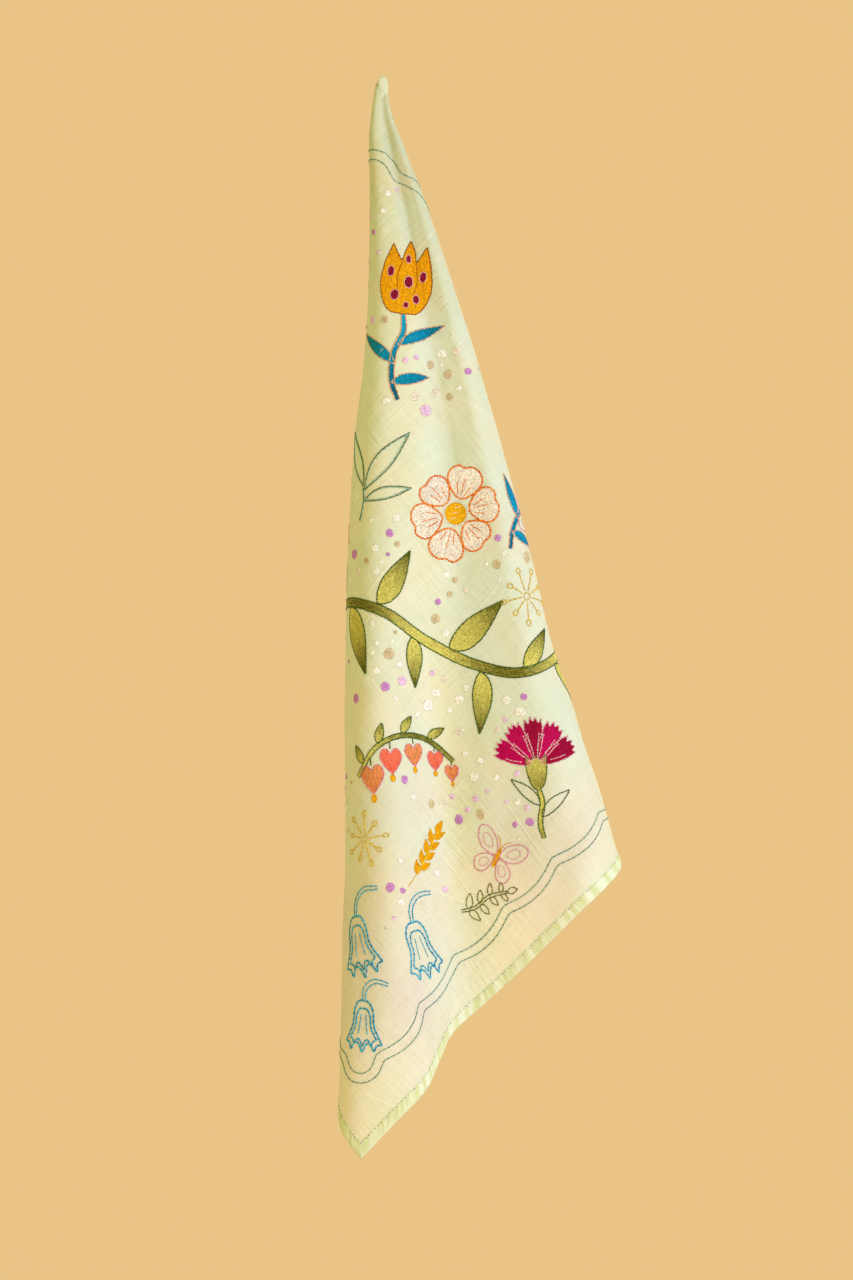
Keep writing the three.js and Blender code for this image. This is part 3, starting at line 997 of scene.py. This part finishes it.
def joined(*runs):             # smooth runs that meet in corners
    return np.concatenate([smoothPath(run) for run in runs])


def mirrored(half):            # a left half that starts and ends on the middle line
    return np.concatenate([half, half[::-1] * (-1, 1)])


def ellipse(centre, across, up, count=26):
    turn = np.linspace(0, 2 * math.pi, count)
    return np.stack([centre[0] + across * np.cos(turn), centre[1] + up * np.sin(turn)], -1)


def leaf(length, width, bend=0.0, blunt=0.8):
    share = np.linspace(0, 1, leafPoints)
    middle = bend * share ** 1.6
    half = width / 2 * np.sin(math.pi * share ** blunt)
    left = np.stack([middle - half, share * length], -1)
    right = np.stack([middle + half, share * length], -1)
    return np.concatenate([left, right[::-1]])


def turned(points, place=(0, 0), turn=0.0, size=1.0):  # clockwise, then moved
    points = np.asarray(points, float) * size
    cosine, sine = math.cos(math.radians(turn)), math.sin(math.radians(turn))
    return np.stack([place[0] + points[..., 0] * cosine + points[..., 1] * sine,
                     place[1] - points[..., 0] * sine + points[..., 1] * cosine], -1)


def inset(points, by):         # a closed outline moved inwards
    along = np.roll(points, -2, 0) - np.roll(points, 2, 0)
    area = np.sum(points[:-1, 0] * points[1:, 1] - points[1:, 0] * points[:-1, 1])
    normal = np.stack([-along[:, 1], along[:, 0]], -1) * np.sign(area)
    return points + normal / np.maximum(np.linalg.norm(normal, axis=1, keepdims=True), 1e-6) * by


def beside(path, offset):      # a path moved to its left
    along = np.gradient(path, axis=0)
    along /= np.maximum(np.linalg.norm(along, axis=1, keepdims=True), 1e-6)
    return path + np.stack([-along[:, 1], along[:, 0]], -1) * offset


def band(piece, path, width, fill, edge):  # a stem: rows of stitches along it, and its two edges
    share = np.linspace(0, 1, len(path))
    taper = 0.62 + 0.38 * np.sin(math.pi * np.clip(share, 0.02, 0.98)) ** 0.5
    rows = max(1, round(width / 0.95))
    aside = beside(path, 1.0) - path
    for row in range(rows if fill else 0):
        offset = ((row + 0.5) / rows - 0.5) * width * 0.92
        stitchRow(piece, path + aside * (offset * taper)[:, None], fill)
    for side in (-0.5, 0.5):
        stitchLine(piece, path + aside * (side * width * taper)[:, None], edge, width=1.4)


class Motif:                   # sews the shapes of one motif, which have y towards the held corner
    def __init__(self, piece, angle, reach, turn, size):
        self.piece = piece
        self.centre = flatOf(angle, reach)
        self.turn = turn
        self.size = size

    def put(self, points):
        return self.centre + turned(points, turn=self.turn, size=self.size) * (1, -1)

    def line(self, points, *stitches, **how):
        stitchLine(self.piece, self.put(points), *stitches, **how)

    def curve(self, points, *stitches):
        self.line(smoothPath(points), *stitches)

    def fill(self, shape, thread, base, tip, fade=0.0, holes=(), **how):
        outlines = [self.put(outline) for outline in (shape, *holes)]
        stitchFill(self.piece, outlines, thread, self.put(base), self.put(tip), fade, **how)

    def part(self, shape, threads, base, tip, fade=0.0, holes=(), width=1.15):  # a fill and its edge
        self.fill(shape, threads[0], base, tip, fade, holes)
        self.line(shape, threads[1], width=width)

    def leaf(self, blade, threads, fade, width=1.15):
        self.part(blade, threads, blade[0], blade[leafPoints - 1], fade, width=width)

    def stem(self, path, width, threads):
        band(self.piece, self.put(path), width, *threads)


# In these dictionaries a fill with an edge has two threads (None leaves out the fill). A line
# has its thread, the length and the width of a stitch and, in one of them, how far off the
# cloth it lies.
tulipLook = {
    "cup": ("ochre", "rust"),
    "green": ("blue", "paleOrange"),
    "stemWidth": 4.6,
    "leafWidth": 10,
    "leafBend": 1 / 7,         # share of its length
    "spot": "maroon",
    "spotEdge": ("palePink", 1.8, 0.85),
    "vein": ("rust", 2.2, 0.8),
    # spots: middle, half width and half height
    "spots": [(-9, -15, 3.3, 4.6), (9, -17, 3.0, 4.0), (-14, 5, 2.6, 4.6), (1, -3, 3.6, 5.2),
              (13, 3, 2.8, 4.8), (-1, 17, 2.4, 3.8), (1, -23, 2.2, 2.8)],
    # leaves: turn, length and height of the foot
    "leaves": [(52, 44, -58), (-48, 46, -74), (66, 32, -90)],
}


def tulip(sew, look):          # a spotted cup on a blue stem
    left = joined([(0, -31), (-13, -28), (-21, -11), (-20, 8), (-14, 29)],
                  [(-14, 29), (-10, 21), (-6, 14)], [(-6, 14), (-4, 24), (0, 33)])
    rings = [ellipse((x, y), across, up, 18) for x, y, across, up in look["spots"]]
    stem = smoothPath([(0, -31), (2, -46), (-3, -66), (-1, -88), (7, -104)])
    sew.stem(stem, look["stemWidth"], look["green"])
    for turn, length, low in look["leaves"]:
        blade = leaf(length, look["leafWidth"], length * look["leafBend"] * np.sign(turn))
        sew.leaf(turned(blade, (-1, low), turn), look["green"], 0.5)
    sew.part(mirrored(left), look["cup"], (0, -31), (2, 33), 0.2, rings)
    for ring, (x, y, _, up) in zip(rings, look["spots"]):
        sew.fill(ring, look["spot"], (x, y - up), (x, y + up))
        sew.line(ring, *look["spotEdge"])
    for sense in (-1, 1):
        sew.curve([(-6 * sense, 14), (-8.5 * sense, 0), (-6 * sense, -14)], *look["vein"])


anemoneLook = {
    "petals": 6,
    "turn": 12,
    "smaller": 0.05,           # the petals come in three sizes
    "petal": "cream",
    "petalFades": (-0.3, 0.15),
    "petalEdge": ("orange", 2.4, 2.1),
    "vein": ("orange", 2.3, 1.2),
    "veins": [(-6, 9), (0, 13), (7, 8)],  # lean and length
    "heart": "yellow",
    "heartRadius": 8.6,
    "heartRows": {"spacing": 0.85, "length": 3},
    "heartEdge": ("yellow", 2.0, 1.0),
    "ringRadius": 10.4,
    "heartRing": ("white", 2.0, 0.9),
    "fleck": ("white", 2.2, 0.8),
}


def anemone(sew, look):
    petal = smoothPath([(0, 12.5), (-6, 15), (-13, 23), (-14.5, 31), (-9, 37.5), (-2.5, 36.5), (3, 38.5),
                        (10, 36.5), (14.5, 30), (12.5, 22), (6, 15)], True)
    for number in range(look["petals"]):
        turn = 360 / look["petals"] * number + look["turn"]
        bloom = turned(petal, turn=turn, size=1 - look["smaller"] * (number % 3))
        base, tip = turned([(0, 12), (0, 38)], turn=turn)
        sew.fill(bloom, look["petal"], base, tip, look["petalFades"][number % 2])
        sew.line(bloom, *look["petalEdge"])
        for lean, length in look["veins"]:
            vein = smoothPath([(lean * 0.45, 15.5), (lean * 0.9, 15.5 + length)])
            sew.line(turned(vein, turn=turn), *look["vein"])
    heart, ring = [ellipse((0, 0), radius, radius) for radius in (look["heartRadius"], look["ringRadius"])]
    sew.fill(heart, look["heart"], (-8, -6), (8, 6), **look["heartRows"])
    sew.line(heart, *look["heartEdge"])
    sew.line(ring, *look["heartRing"])
    for high in (-4.5, 0, 4.5):
        sew.curve([(-3 + high / 3, high), (2.5 + high / 3, high + 1.2)], *look["fleck"])


carnationLook = {
    # petals in the order in which they are sewn: step from the middle one, and thread
    "petals": [(-2, "magenta"), (2, "crimson"), (-1, "magenta"), (1, "magenta"), (0, "crimson")],
    "petalTurn": 31,
    "petalEdge": "palePink",
    "edgeWidth": 0.9,
    "vein": ("palePink", 2.2, 0.95, 0.35),
    # teeth of a petal: turn and radius
    "teeth": [(-14, 36), (-10.5, 41), (-7, 37), (-3, 43), (0.5, 38.5), (4, 43), (7.5, 37.5),
              (11, 41), (14, 36)],
    "green": ("olive", "leafGreen"),
    "stemWidth": 4.4,
    "leaves": [(-38, -34), (42, -44)],  # turn and height of the foot
}


def carnation(sew, look):      # a fan of toothed petals over a green cup
    rim = [(radius * math.sin(math.radians(lean)), radius * math.cos(math.radians(lean)))
           for lean, radius in look["teeth"]]
    petal = np.concatenate([smoothPath([(-2.5, 7), (-7, 20), rim[0]]), np.array(rim),
                            smoothPath([rim[-1], (7, 20), (2.5, 7), (-2.5, 7)])])
    stem = smoothPath([(0, -18), (3, -32), (-1, -48), (1, -62)])
    sew.stem(stem, look["stemWidth"], look["green"])
    for turn, low in look["leaves"]:
        sew.line(turned(leaf(36, 10, 6 * np.sign(turn)), (1, low), turn), look["green"][1])
    for step, thread in look["petals"]:
        turn = step * look["petalTurn"]
        base, tip = turned([(0, 7), (0, 42)], turn=turn)
        threads = (thread, look["petalEdge"])
        sew.part(turned(petal, turn=turn), threads, base, tip, 0.3, width=look["edgeWidth"])
        for lean in (-6, 5):
            vein = smoothPath([(lean * 0.4, 14), (lean * 0.8, 22), (lean, 29)])
            sew.line(turned(vein, turn=turn), *look["vein"])
    cup = mirrored(joined([(0, -21), (-6, -16), (-9.5, -4), (-10, 10)], [(-10, 10), (-5, 6), (0, 9)]))
    sew.part(cup, look["green"], (0, 8), (0, -20), 0.6)


heartLook = {
    # hearts: share of the way along the twig, and thread
    "hearts": [(0.2, "peach"), (0.4, "coral"), (0.6, "peach"), (0.8, "coral"), (0.98, "peach")],
    "heartEdge": "pink",
    "sizes": (1.1, 0.12),      # the first one, and how much smaller each next one is
    "drop": "yellow",
    "dropEdge": ("ochre", 1.8, 0.8),
    "green": ("olive", "leafGreen"),
    "twigWidth": 4.2,
    "leaves": [(0.1, -30), (0.3, 10), (0.52, 30), (0.74, 58)],  # share of the way, and turn
}


def heartSprig(sew, look):     # hearts hang from an arched twig
    half = joined([(0, -13), (-7, -5), (-10.5, 3), (-8, 9.5), (-3.5, 10), (0, 5.5)])
    arch = smoothPath([(-52, -16), (-30, 8), (-4, 18), (24, 13), (46, -6)])
    sew.stem(arch, look["twigWidth"], look["green"])
    for number, (share, thread) in enumerate(look["hearts"]):
        x, y = arch[int(share * (len(arch) - 1))]
        size = look["sizes"][0] - look["sizes"][1] * number
        sew.curve([(x, y - 2), (x, y - 9 * size)], look["green"][1])
        place = (x, y - 19 * size)
        top, low, end = turned([(0, 10), (0, -13), (0, -20)], place, 0, size)
        sew.part(turned(mirrored(half), place, 0, size), (thread, look["heartEdge"]), top, low, 0.3)
        drop = turned(ellipse((0, -16.5), 2.2, 3.4, 14), place, 0, size)
        sew.fill(drop, look["drop"], low, end)
        sew.line(drop, *look["dropEdge"])
    for share, turn in look["leaves"]:
        x, y = arch[int(share * (len(arch) - 1))]
        sew.leaf(turned(leaf(19, 8, 2), (x, y + 2), turn), look["green"], 0.8)


butterflyLook = {
    "wing": ("pink", 2.4, 1.1),
    "innerWing": ("palePink", 2.2, 0.95),
    "feeler": ("ochre", 2.0, 0.8),
    "body": ("ochre", "ochre"),
}


def butterfly(sew, look):      # outlined wings on a filled body
    upper = smoothPath([(1.6, 1.5), (6, 13), (17, 20), (25, 17), (22, 7), (13, 0.5)], True)
    lower = smoothPath([(1.6, -1), (11, -2), (18, -9), (15, -18), (7, -17), (3, -9)], True)
    for sense in (-1, 1):
        for wing, middle in ((upper, (13, 9)), (lower, (9, -9))):
            sew.line(wing * (sense, 1), *look["wing"])
            sew.line((middle + (wing - middle) * 0.5) * (sense, 1), *look["innerWing"])
        sew.curve([(0.4 * sense, 8), (3 * sense, 14), (7 * sense, 17)], *look["feeler"])
    sew.part(leaf(19, 4.6) - (0, 10), look["body"], (0, -10), (0, 9))


seedLook = {
    "rays": 9,
    "reaches": (20, 15.5),
    "heart": ("gold", 2.2, 1.05),
    "ray": ("gold", 2.3, 1.3),
    "ring": ("gold", 2.0, 1.2),
}


def seedHead(sew, look):       # thin gold rays with a small ring at each end
    sew.line(ellipse((0, 0), 3.2, 3.2, 14), *look["heart"])
    for number in range(look["rays"]):
        turn = 360 * number / look["rays"]
        reach = look["reaches"][number % 2]
        sew.line(turned([(0, 4.5), (0, reach)], turn=turn), *look["ray"])
        sew.line(turned(ellipse((0, reach + 2.6), 2.1, 2.9, 12), turn=turn), *look["ring"])


wheatLook = {
    "stalk": ("gold", 2.6, 1.1),
    "grain": ("ochre", "gold"),
    "edgeWidth": 0.85,
    "grainTurns": [0, *[34, -34] * 4],
    "grainStep": 5.2,
}


def wheatEar(sew, look):       # filled grains along a gold stalk
    sew.curve([(0, 20), (1, 0), (-3, -34)], *look["stalk"])
    for number, turn in enumerate(look["grainTurns"]):
        grain = turned(leaf(12.5, 5.8, 0, 0.7), (0, 22 - look["grainStep"] * number), turn)
        sew.leaf(grain, look["grain"], 0.4, look["edgeWidth"])


bladeLook = {
    "outer": ("leafGreen", 2.5, 1.15),
    "inner": ("paleTeal", 2.5, 0.95),
    "leaves": [(-14, 60, (-0.5, 1)), (34, 66, (1.5, -3)), (72, 46, (0.5, -13))],  # turn, length, foot
    "width": 0.25,             # share of its length, like its bend
    "bend": 0.14,
    "blunt": 0.9,
    "leafGap": 1.25,           # between the two lines
    "stalkGap": 1.3,
}


def blades(sew, look):         # long leaves in a green and a teal line
    for turn, length, foot in look["leaves"]:
        bend = length * look["bend"] * np.sign(turn)
        blade = turned(leaf(length, length * look["width"], bend, look["blunt"]), foot, turn)
        sew.line(blade, *look["outer"])
        sew.line(inset(blade, look["leafGap"]), *look["inner"])
    stalk = smoothPath([(0, 0), (-2, -16), (-8, -30)])
    sew.line(stalk, *look["outer"])
    sew.line(beside(stalk, look["stalkGap"]), *look["inner"])


sprigLook = {
    "pairs": 4,
    "leafTurn": 56,
    "line": ("twig", 2.5, 1.1),
    "stem": (None, "twig"),
    "stemWidth": 2.6,
}


def sprig(sew, look):          # an outlined twig with paired oval leaves
    stem = smoothPath([(0, -44), (4, -22), (-2, 4), (3, 34)])
    sew.stem(stem, look["stemWidth"], look["stem"])
    for number in range(look["pairs"]):
        x, y = stem[int((0.16 + 0.24 * number) * (len(stem) - 1))]
        for sense in (-1, 1):
            oval = leaf(23 - 2.5 * number, 10.5 - number, 2 * sense)
            sew.line(turned(oval, (x + sense, y), sense * look["leafTurn"]), *look["line"])
    sew.line(turned(leaf(17, 9), stem[-1], 6), *look["line"])


berryLook = {
    "places": [(0, 4), (-12, -3), (11, -5), (-5, -15), (6, -18), (-14, -19), (0, -29)],
    "leafTurns": (-62, 58),
    "berry": ("coral", "palePink"),
    "star": "yellow",
    "twig": ("twig", 2.5, 1.1),
    "stalk": ("twig", 2.4, 0.85),
    "vein": ("twig", 2.3, 0.8),
}


def berries(sew, look):        # a bunch of filled berries under an outlined twig
    sew.curve([(-3, 38), (2, 24), (0, 12)], *look["twig"])
    for x, y in look["places"]:
        sew.curve([(0, 12), (x * 0.4, (y + 8) * 0.5 + 4), (x, y + 5)], *look["stalk"])
    for x, y in look["places"]:
        rim = ellipse((x, y), 5.1, 5.4, 18)
        sew.part(rim, look["berry"], (x - 4, y + 4), (x + 4, y - 4), 0.3)
        star = ellipse((x + 0.5, y - 1), 1.7, 1.7, 10)
        sew.fill(star, look["star"], (x - 2, y), (x + 2, y), lift=0.4)
    for turn in look["leafTurns"]:
        sew.line(turned(leaf(27, 12, 3 * np.sign(turn)), (0, 14), turn), *look["twig"])
        sew.line(turned([(0, 3), (0, 21)], (0, 14), turn), *look["vein"])


bellLook = {
    "outer": ("skyBlue", 2.4, 2.1),
    "inner": ("skyBlue", 2.4, 1.9),
    "innerSize": 0.73,
    "innerPlace": (0, -1.5),
    "fold": ("skyBlue", 2.3, 1.0),
    "stem": (None, "skyBlue"),
    "stemWidth": 3.6,
}


def bell(sew, look):           # a blue bell in a double line
    half = joined([(0, 22), (-6, 21), (-10.5, 12), (-12, -2), (-20, -18)],
                  [(-20, -18), (-15, -19), (-12.5, -26)], [(-12.5, -26), (-9, -19), (-6.5, -17.5)],
                  [(-6.5, -17.5), (-3.5, -20), (0, -28)])
    cup = mirrored(half)
    sew.line(cup, *look["outer"])
    sew.line(cup * look["innerSize"] + look["innerPlace"], *look["inner"])
    sew.stem(smoothPath([(0, 22), (2, 34), (12, 42), (26, 41)]), look["stemWidth"], look["stem"])
    for x in (-5, 5):
        sew.curve([(x * 0.5, 9), (x, -10)], *look["fold"])


vineLook = {
    "threads": ("olive", "leafGreen"),
    "width": 8.6,
    "leafEdge": ("leafGreen", 2.5, 1.5),
    "fade": 1.1,               # how much darker a leaf is at its point
    "lean": (40, 12),          # of the first leaf from the stem, and how much more the next two have
    "leafLength": (42, 10),    # the shortest, and the step to the next of three lengths
    "leafWidth": 0.36,         # share of its length, like its bend
    "leafBend": 0.24,
    "blunt": 0.72,
}


def vine(places, leaves=8, start=1, size=1.0):  # a filled stem through polar places
    path = smoothPath([flatOf(angle, reach) for angle, reach in places])
    for number in range(leaves):
        share = (number + 0.7) / (leaves + 0.4)
        spot = int(share * (len(path) - 1))
        ahead = path[min(spot + 3, len(path) - 1)] - path[max(spot - 3, 0)]
        sense = start if number % 2 else -start
        lean = vineLook["lean"][0] + vineLook["lean"][1] * (number % 3)
        heading = math.degrees(math.atan2(ahead[0], -ahead[1])) + sense * lean
        length = (vineLook["leafLength"][0] + vineLook["leafLength"][1] * ((number * 2) % 3)) * size
        foot = turned((0, vineLook["width"] * 0.5 / math.sin(math.radians(lean))), (0, 0), heading)
        width, bend = length * vineLook["leafWidth"], sense * length * vineLook["leafBend"]
        blade = turned(leaf(length, width, bend, vineLook["blunt"]), foot, heading)
        shape = path[spot] + blade * (1, -1)
        stitchFill("vines", [shape], vineLook["threads"][0], shape[0], shape[leafPoints - 1],
                   vineLook["fade"])
        stitchLine("vines", shape, *vineLook["leafEdge"])
    band("vines", path, vineLook["width"], *vineLook["threads"])


hemDashes = {
    "fromEdge": hem["width"] - 1.1,
    "start": 43,               # from the held corner
    "step": 3.7,
}


def hemStitches():             # dashes that hold the hem, seen on both faces
    run = np.arange(hemDashes["start"], 4 * drape["side"] - hemDashes["start"], 1.0)
    facts = stitchKinds["dash"]
    line = alongEdges(run, np.full(run.shape, hemDashes["fromEdge"]))
    length = runAlong(line)
    starts = np.arange(0, length[-1] - 4, hemDashes["step"])
    starts += random.uniform(-0.3, 0.3, len(starts))
    ends = starts + random.uniform(*facts["length"], len(starts))
    near, far = [pointsAt(line, length, marks) for marks in (starts, ends)]
    addStitches("border", "dash", near, far, "hemGreen", facts["tone"])


border = {
    "distance": 36,            # from the edges of the cloth
    "corner": 30,              # the radius in which it turns
    "cornerPoints": 24,
    "sidePoints": 260,
    "rise": 9,
    "scallop": 60,             # length of one, about
    "gap": 8.2,                # between the two lines
}


def scallopBorder():           # two parallel scalloped lines round the square
    near, far = border["distance"] + border["corner"], drape["side"] - border["distance"] - border["corner"]
    centres = [(near, near), (far, near), (far, far), (near, far)]
    path, normals = [], []
    for number, centre in enumerate(centres):
        turn = np.radians(np.linspace(180, 270, border["cornerPoints"]) + 90 * number)
        outwards = np.stack([np.cos(turn), np.sin(turn)], -1)
        path.append(centre + outwards * border["corner"])
        normals.append(-outwards)
        straight = np.linspace(0, 1, border["sidePoints"])[1:-1, None]
        end = centres[(number + 1) % 4] + outwards[-1] * border["corner"]
        path.append(path[-1][-1] * (1 - straight) + end * straight)
        normals.append(np.repeat(-outwards[-1:], len(straight), axis=0))
    path, normals = np.concatenate(path), np.concatenate(normals)
    run = runAlong(path)
    total = run[-1] + np.hypot(*(path[0] - path[-1]))
    count = 4 * round(total / border["scallop"] / 4)
    first = math.pi / 4 * border["corner"]
    wave = (np.cos(math.pi * count * (run - first) / total) ** 2 + 0.03) ** 0.35
    for extra in (0, border["gap"]):
        line = path + normals * (border["rise"] * (1 - wave) + extra)[:, None]
        line = np.concatenate([line, line[:1]])
        stitchLine("border", fromEdges(line[:, 0], line[:, 1]), "tealGrey", 2.7, 1.1)


dotFacts = {
    "threads": ["cream", "white", "lilac", "paleLilac", "white", "greige"],
    # radius of a dot, and the share of the dots that have it
    "sizes": {2.1: 0.17, 2.8: 0.26, 3.5: 0.27, 4.3: 0.2, 5.2: 0.1},
    "squash": (0.85, 1.15),
    "tries": 6,
    "fromEdge": 52,
    "clear": 3.2,              # room between a dot and what is drawn already
    "seed": 40,                # for the first sprinkle, and one more for each next one
}


def coilDot(place, radius, squash, thread):  # laid round and round from the rim inwards
    facts = stitchKinds["coil"]
    rounds = max(1.5, radius / facts["spacing"])
    turn = np.linspace(0, 2 * math.pi * rounds, 8 * math.ceil(rounds)) + place[0]
    shrink = np.linspace(1, facts["innermost"], len(turn)) * (radius - facts["rim"])
    coil = place + np.stack([np.cos(turn), np.sin(turn) * squash], -1) * shrink[:, None]
    run = runAlong(coil)
    marks = np.linspace(0, run[-1], max(4, round(run[-1] / facts["length"])) + 1)
    path = pointsAt(coil, run, marks)
    tone = facts["tone"] + facts["rimTone"] * np.interp(marks[:-1], run, shrink) / radius
    addStitches("dots", "coil", path[:-1], path[1:], thread, tone)
    drawn.append(ellipse(place, radius, radius * squash, 16))


def dots(angle, reach, spread, count, seed):  # a sprinkle of small dots
    scatter = np.random.default_rng(seed)
    sizes, threads = dotFacts["sizes"], dotFacts["threads"]
    centre = flatOf(angle, reach)
    made = 0
    for _ in range(count * dotFacts["tries"]):
        place = centre + scatter.normal(0, 1, 2) * (spread * 0.75, spread)
        radius = scatter.choice(list(sizes), p=list(sizes.values()))
        thread = threads[scatter.integers(len(threads))]
        edges = edgesOf(place)
        if min(edges) < dotFacts["fromEdge"] or max(edges) > drape["side"] - dotFacts["fromEdge"]:
            continue
        if np.min(np.hypot(*(np.concatenate(drawn) - place).T)) < radius + dotFacts["clear"]:
            continue
        coilDot(place, radius, scatter.uniform(*dotFacts["squash"]), thread)
        made += 1
        if made == count:
            break


# Each motif: its angle and reach on the cloth, how far it is turned clockwise, and its size.
design = [
    # the front panel
    (tulip, 9.8, 176, 4, 1.0), (blades, 0.8, 352, -6, 0.92), (anemone, 13.2, 380, 0, 1.06),
    (carnation, 17.0, 604, -8, 0.98), (heartSprig, 5.4, 580, -6, 0.95), (butterfly, 12.2, 672, 24, 1.0),
    (seedHead, 20.2, 462, 10, 1.0), (seedHead, 1.2, 650, 0, 0.95), (wheatEar, 6.4, 664, 28, 1.0),
    (sprig, 10.9, 706, 64, 0.6), (bell, 0.6, 738, -10, 1.05), (bell, 5.3, 742, -20, 1.0),
    (bell, 0.4, 806, 8, 0.9), (berries, 26.5, 640, 10, 0.8), (bell, -5.5, 790, -24, 1.0),
    # the left wing
    (tulip, -12.5, 330, -20, 0.9), (anemone, -12, 470, 20, 1.0), (carnation, -23, 470, -40, 1.0),
    (heartSprig, -10, 590, 20, 1.0), (butterfly, -19.5, 380, -30, 1.1), (seedHead, -27, 372, 0, 1.1),
    (bell, -20, 640, -20, 1.0), (bell, -14, 690, 16, 1.0), (berries, -31, 470, -50, 1.0),
    (anemone, -27, 580, 0, 0.96), (sprig, -36.5, 560, -30, 0.9), (wheatEar, -8, 690, 0, 1.0),
    (seedHead, -19, 560, 0, 1.0), (blades, -34, 420, -60, 0.8), (butterfly, -9, 735, 0, 1.0),
    # the right wing
    (tulip, 30, 360, 30, 0.9), (anemone, 30.5, 540, 0, 1.0), (berries, 26.5, 470, 20, 1.0),
    (carnation, 37.5, 520, 40, 0.9), (bell, 27, 610, 0, 0.9), (seedHead, 35, 440, 0, 1.0),
    (butterfly, 24.8, 400, 20, 1.0), (blades, 36.5, 590, 60, 0.6),
]
motifs = {                     # the piece of embroidery that each belongs to, and its look
    tulip: ("tulips", tulipLook), anemone: ("anemones", anemoneLook),
    carnation: ("carnations", carnationLook), heartSprig: ("hearts", heartLook),
    butterfly: ("butterflies", butterflyLook), seedHead: ("golds", seedLook),
    wheatEar: ("golds", wheatLook), blades: ("blades", bladeLook), sprig: ("blades", sprigLook),
    berries: ("berries", berryLook), bell: ("bells", bellLook),
}
for motif, angle, reach, turn, size in design:
    piece, look = motifs[motif]
    motif(Motif(piece, angle, reach, turn, size), look)
vine([(-9, 470), (-3, 450), (3, 456), (8, 482), (13, 508), (18, 524), (23, 516), (28, 498)], leaves=9)
vine([(-6.5, 560), (-9.5, 620), (-7, 668), (-9, 722)], leaves=6, size=0.8)
vine([(-38, 500), (-30, 520), (-24, 520), (-15, 530), (-13, 560)], leaves=7, start=-1)
vine([(24, 560), (24.5, 600), (31, 600), (37, 575)], leaves=5, size=0.8)
scallopBorder()
hemStitches()

# Each sprinkle of dots: its angle and reach, how far it spreads, and how many dots it has.
sprinkles = [
    (3, 100, 22, 8), (9, 260, 20, 8), (16, 262, 18, 8), (3, 400, 24, 12), (11, 440, 16, 6),
    (20, 420, 20, 6), (8, 520, 22, 14), (3, 490, 18, 10), (15, 548, 14, 8), (10, 600, 20, 14),
    (0, 615, 24, 14), (15, 640, 14, 8), (5, 700, 20, 10), (12, 760, 24, 8), (-10, 400, 40, 18),
    (-18, 500, 40, 18), (-27, 520, 40, 18), (-15, 620, 40, 18), (30, 470, 40, 18), (34, 580, 30, 12),
    (1, 186, 24, 6),
]
for number, sprinkle in enumerate(sprinkles):
    dots(*sprinkle, dotFacts["seed"] + number)
print("embroidery drawn")

threadPieces = [makeThreadPiece(name, rows) for name, rows in stitching.items()]

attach(scarfCloth, "root")
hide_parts("scarf")
for piece in (scarfHem, scarfTip):
    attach(piece, "root")
for piece in threadPieces:
    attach(piece, "root")


# Floor and backdrop

stage = {
    "drop": 1.25,
    "radius": 1.35,
    "thickness": 0.02,
    "floor": "efdcbb",
    "light": "f4e9a1",         # soft light from all round
    "lightPower": 0.75,
    "backdrop": "e9c486",
}
deselectAll()
bpy.ops.mesh.primitive_cylinder_add(vertices=96, radius=stage["radius"], depth=stage["thickness"],
                                    location=(0, 0, -stage["drop"]))
floor = bpy.context.object
floor.name = "floor"
floorFinish, start = newMaterial("paleFloor")
shader = start.add("ShaderNodeBsdfPrincipled", {}, {
    "Base Color": hexColour(stage["floor"]), "Roughness": 0.9})
start.add("ShaderNodeOutputMaterial", {}, {"Surface": shader})
floor.data.materials.append(floorFinish)

world = bpy.data.worlds.new("studio")
bpy.context.scene.world = world
world.use_nodes = True
world.node_tree.nodes.clear()
start = Wire(world.node_tree)
seen = start.add("ShaderNodeLightPath", {}, {}, "Is Camera Ray")
lighting = start.add("ShaderNodeBackground", {}, {
    "Color": hexColour(stage["light"]), "Strength": stage["lightPower"]})
backdrop = start.add("ShaderNodeBackground", {}, {"Color": hexColour(stage["backdrop"]), "Strength": 1.0})
both = start.add("ShaderNodeMixShader", {}, {0: seen, 1: lighting, 2: backdrop})
start.add("ShaderNodeOutputWorld", {}, {"Surface": both})
print("stage ready")
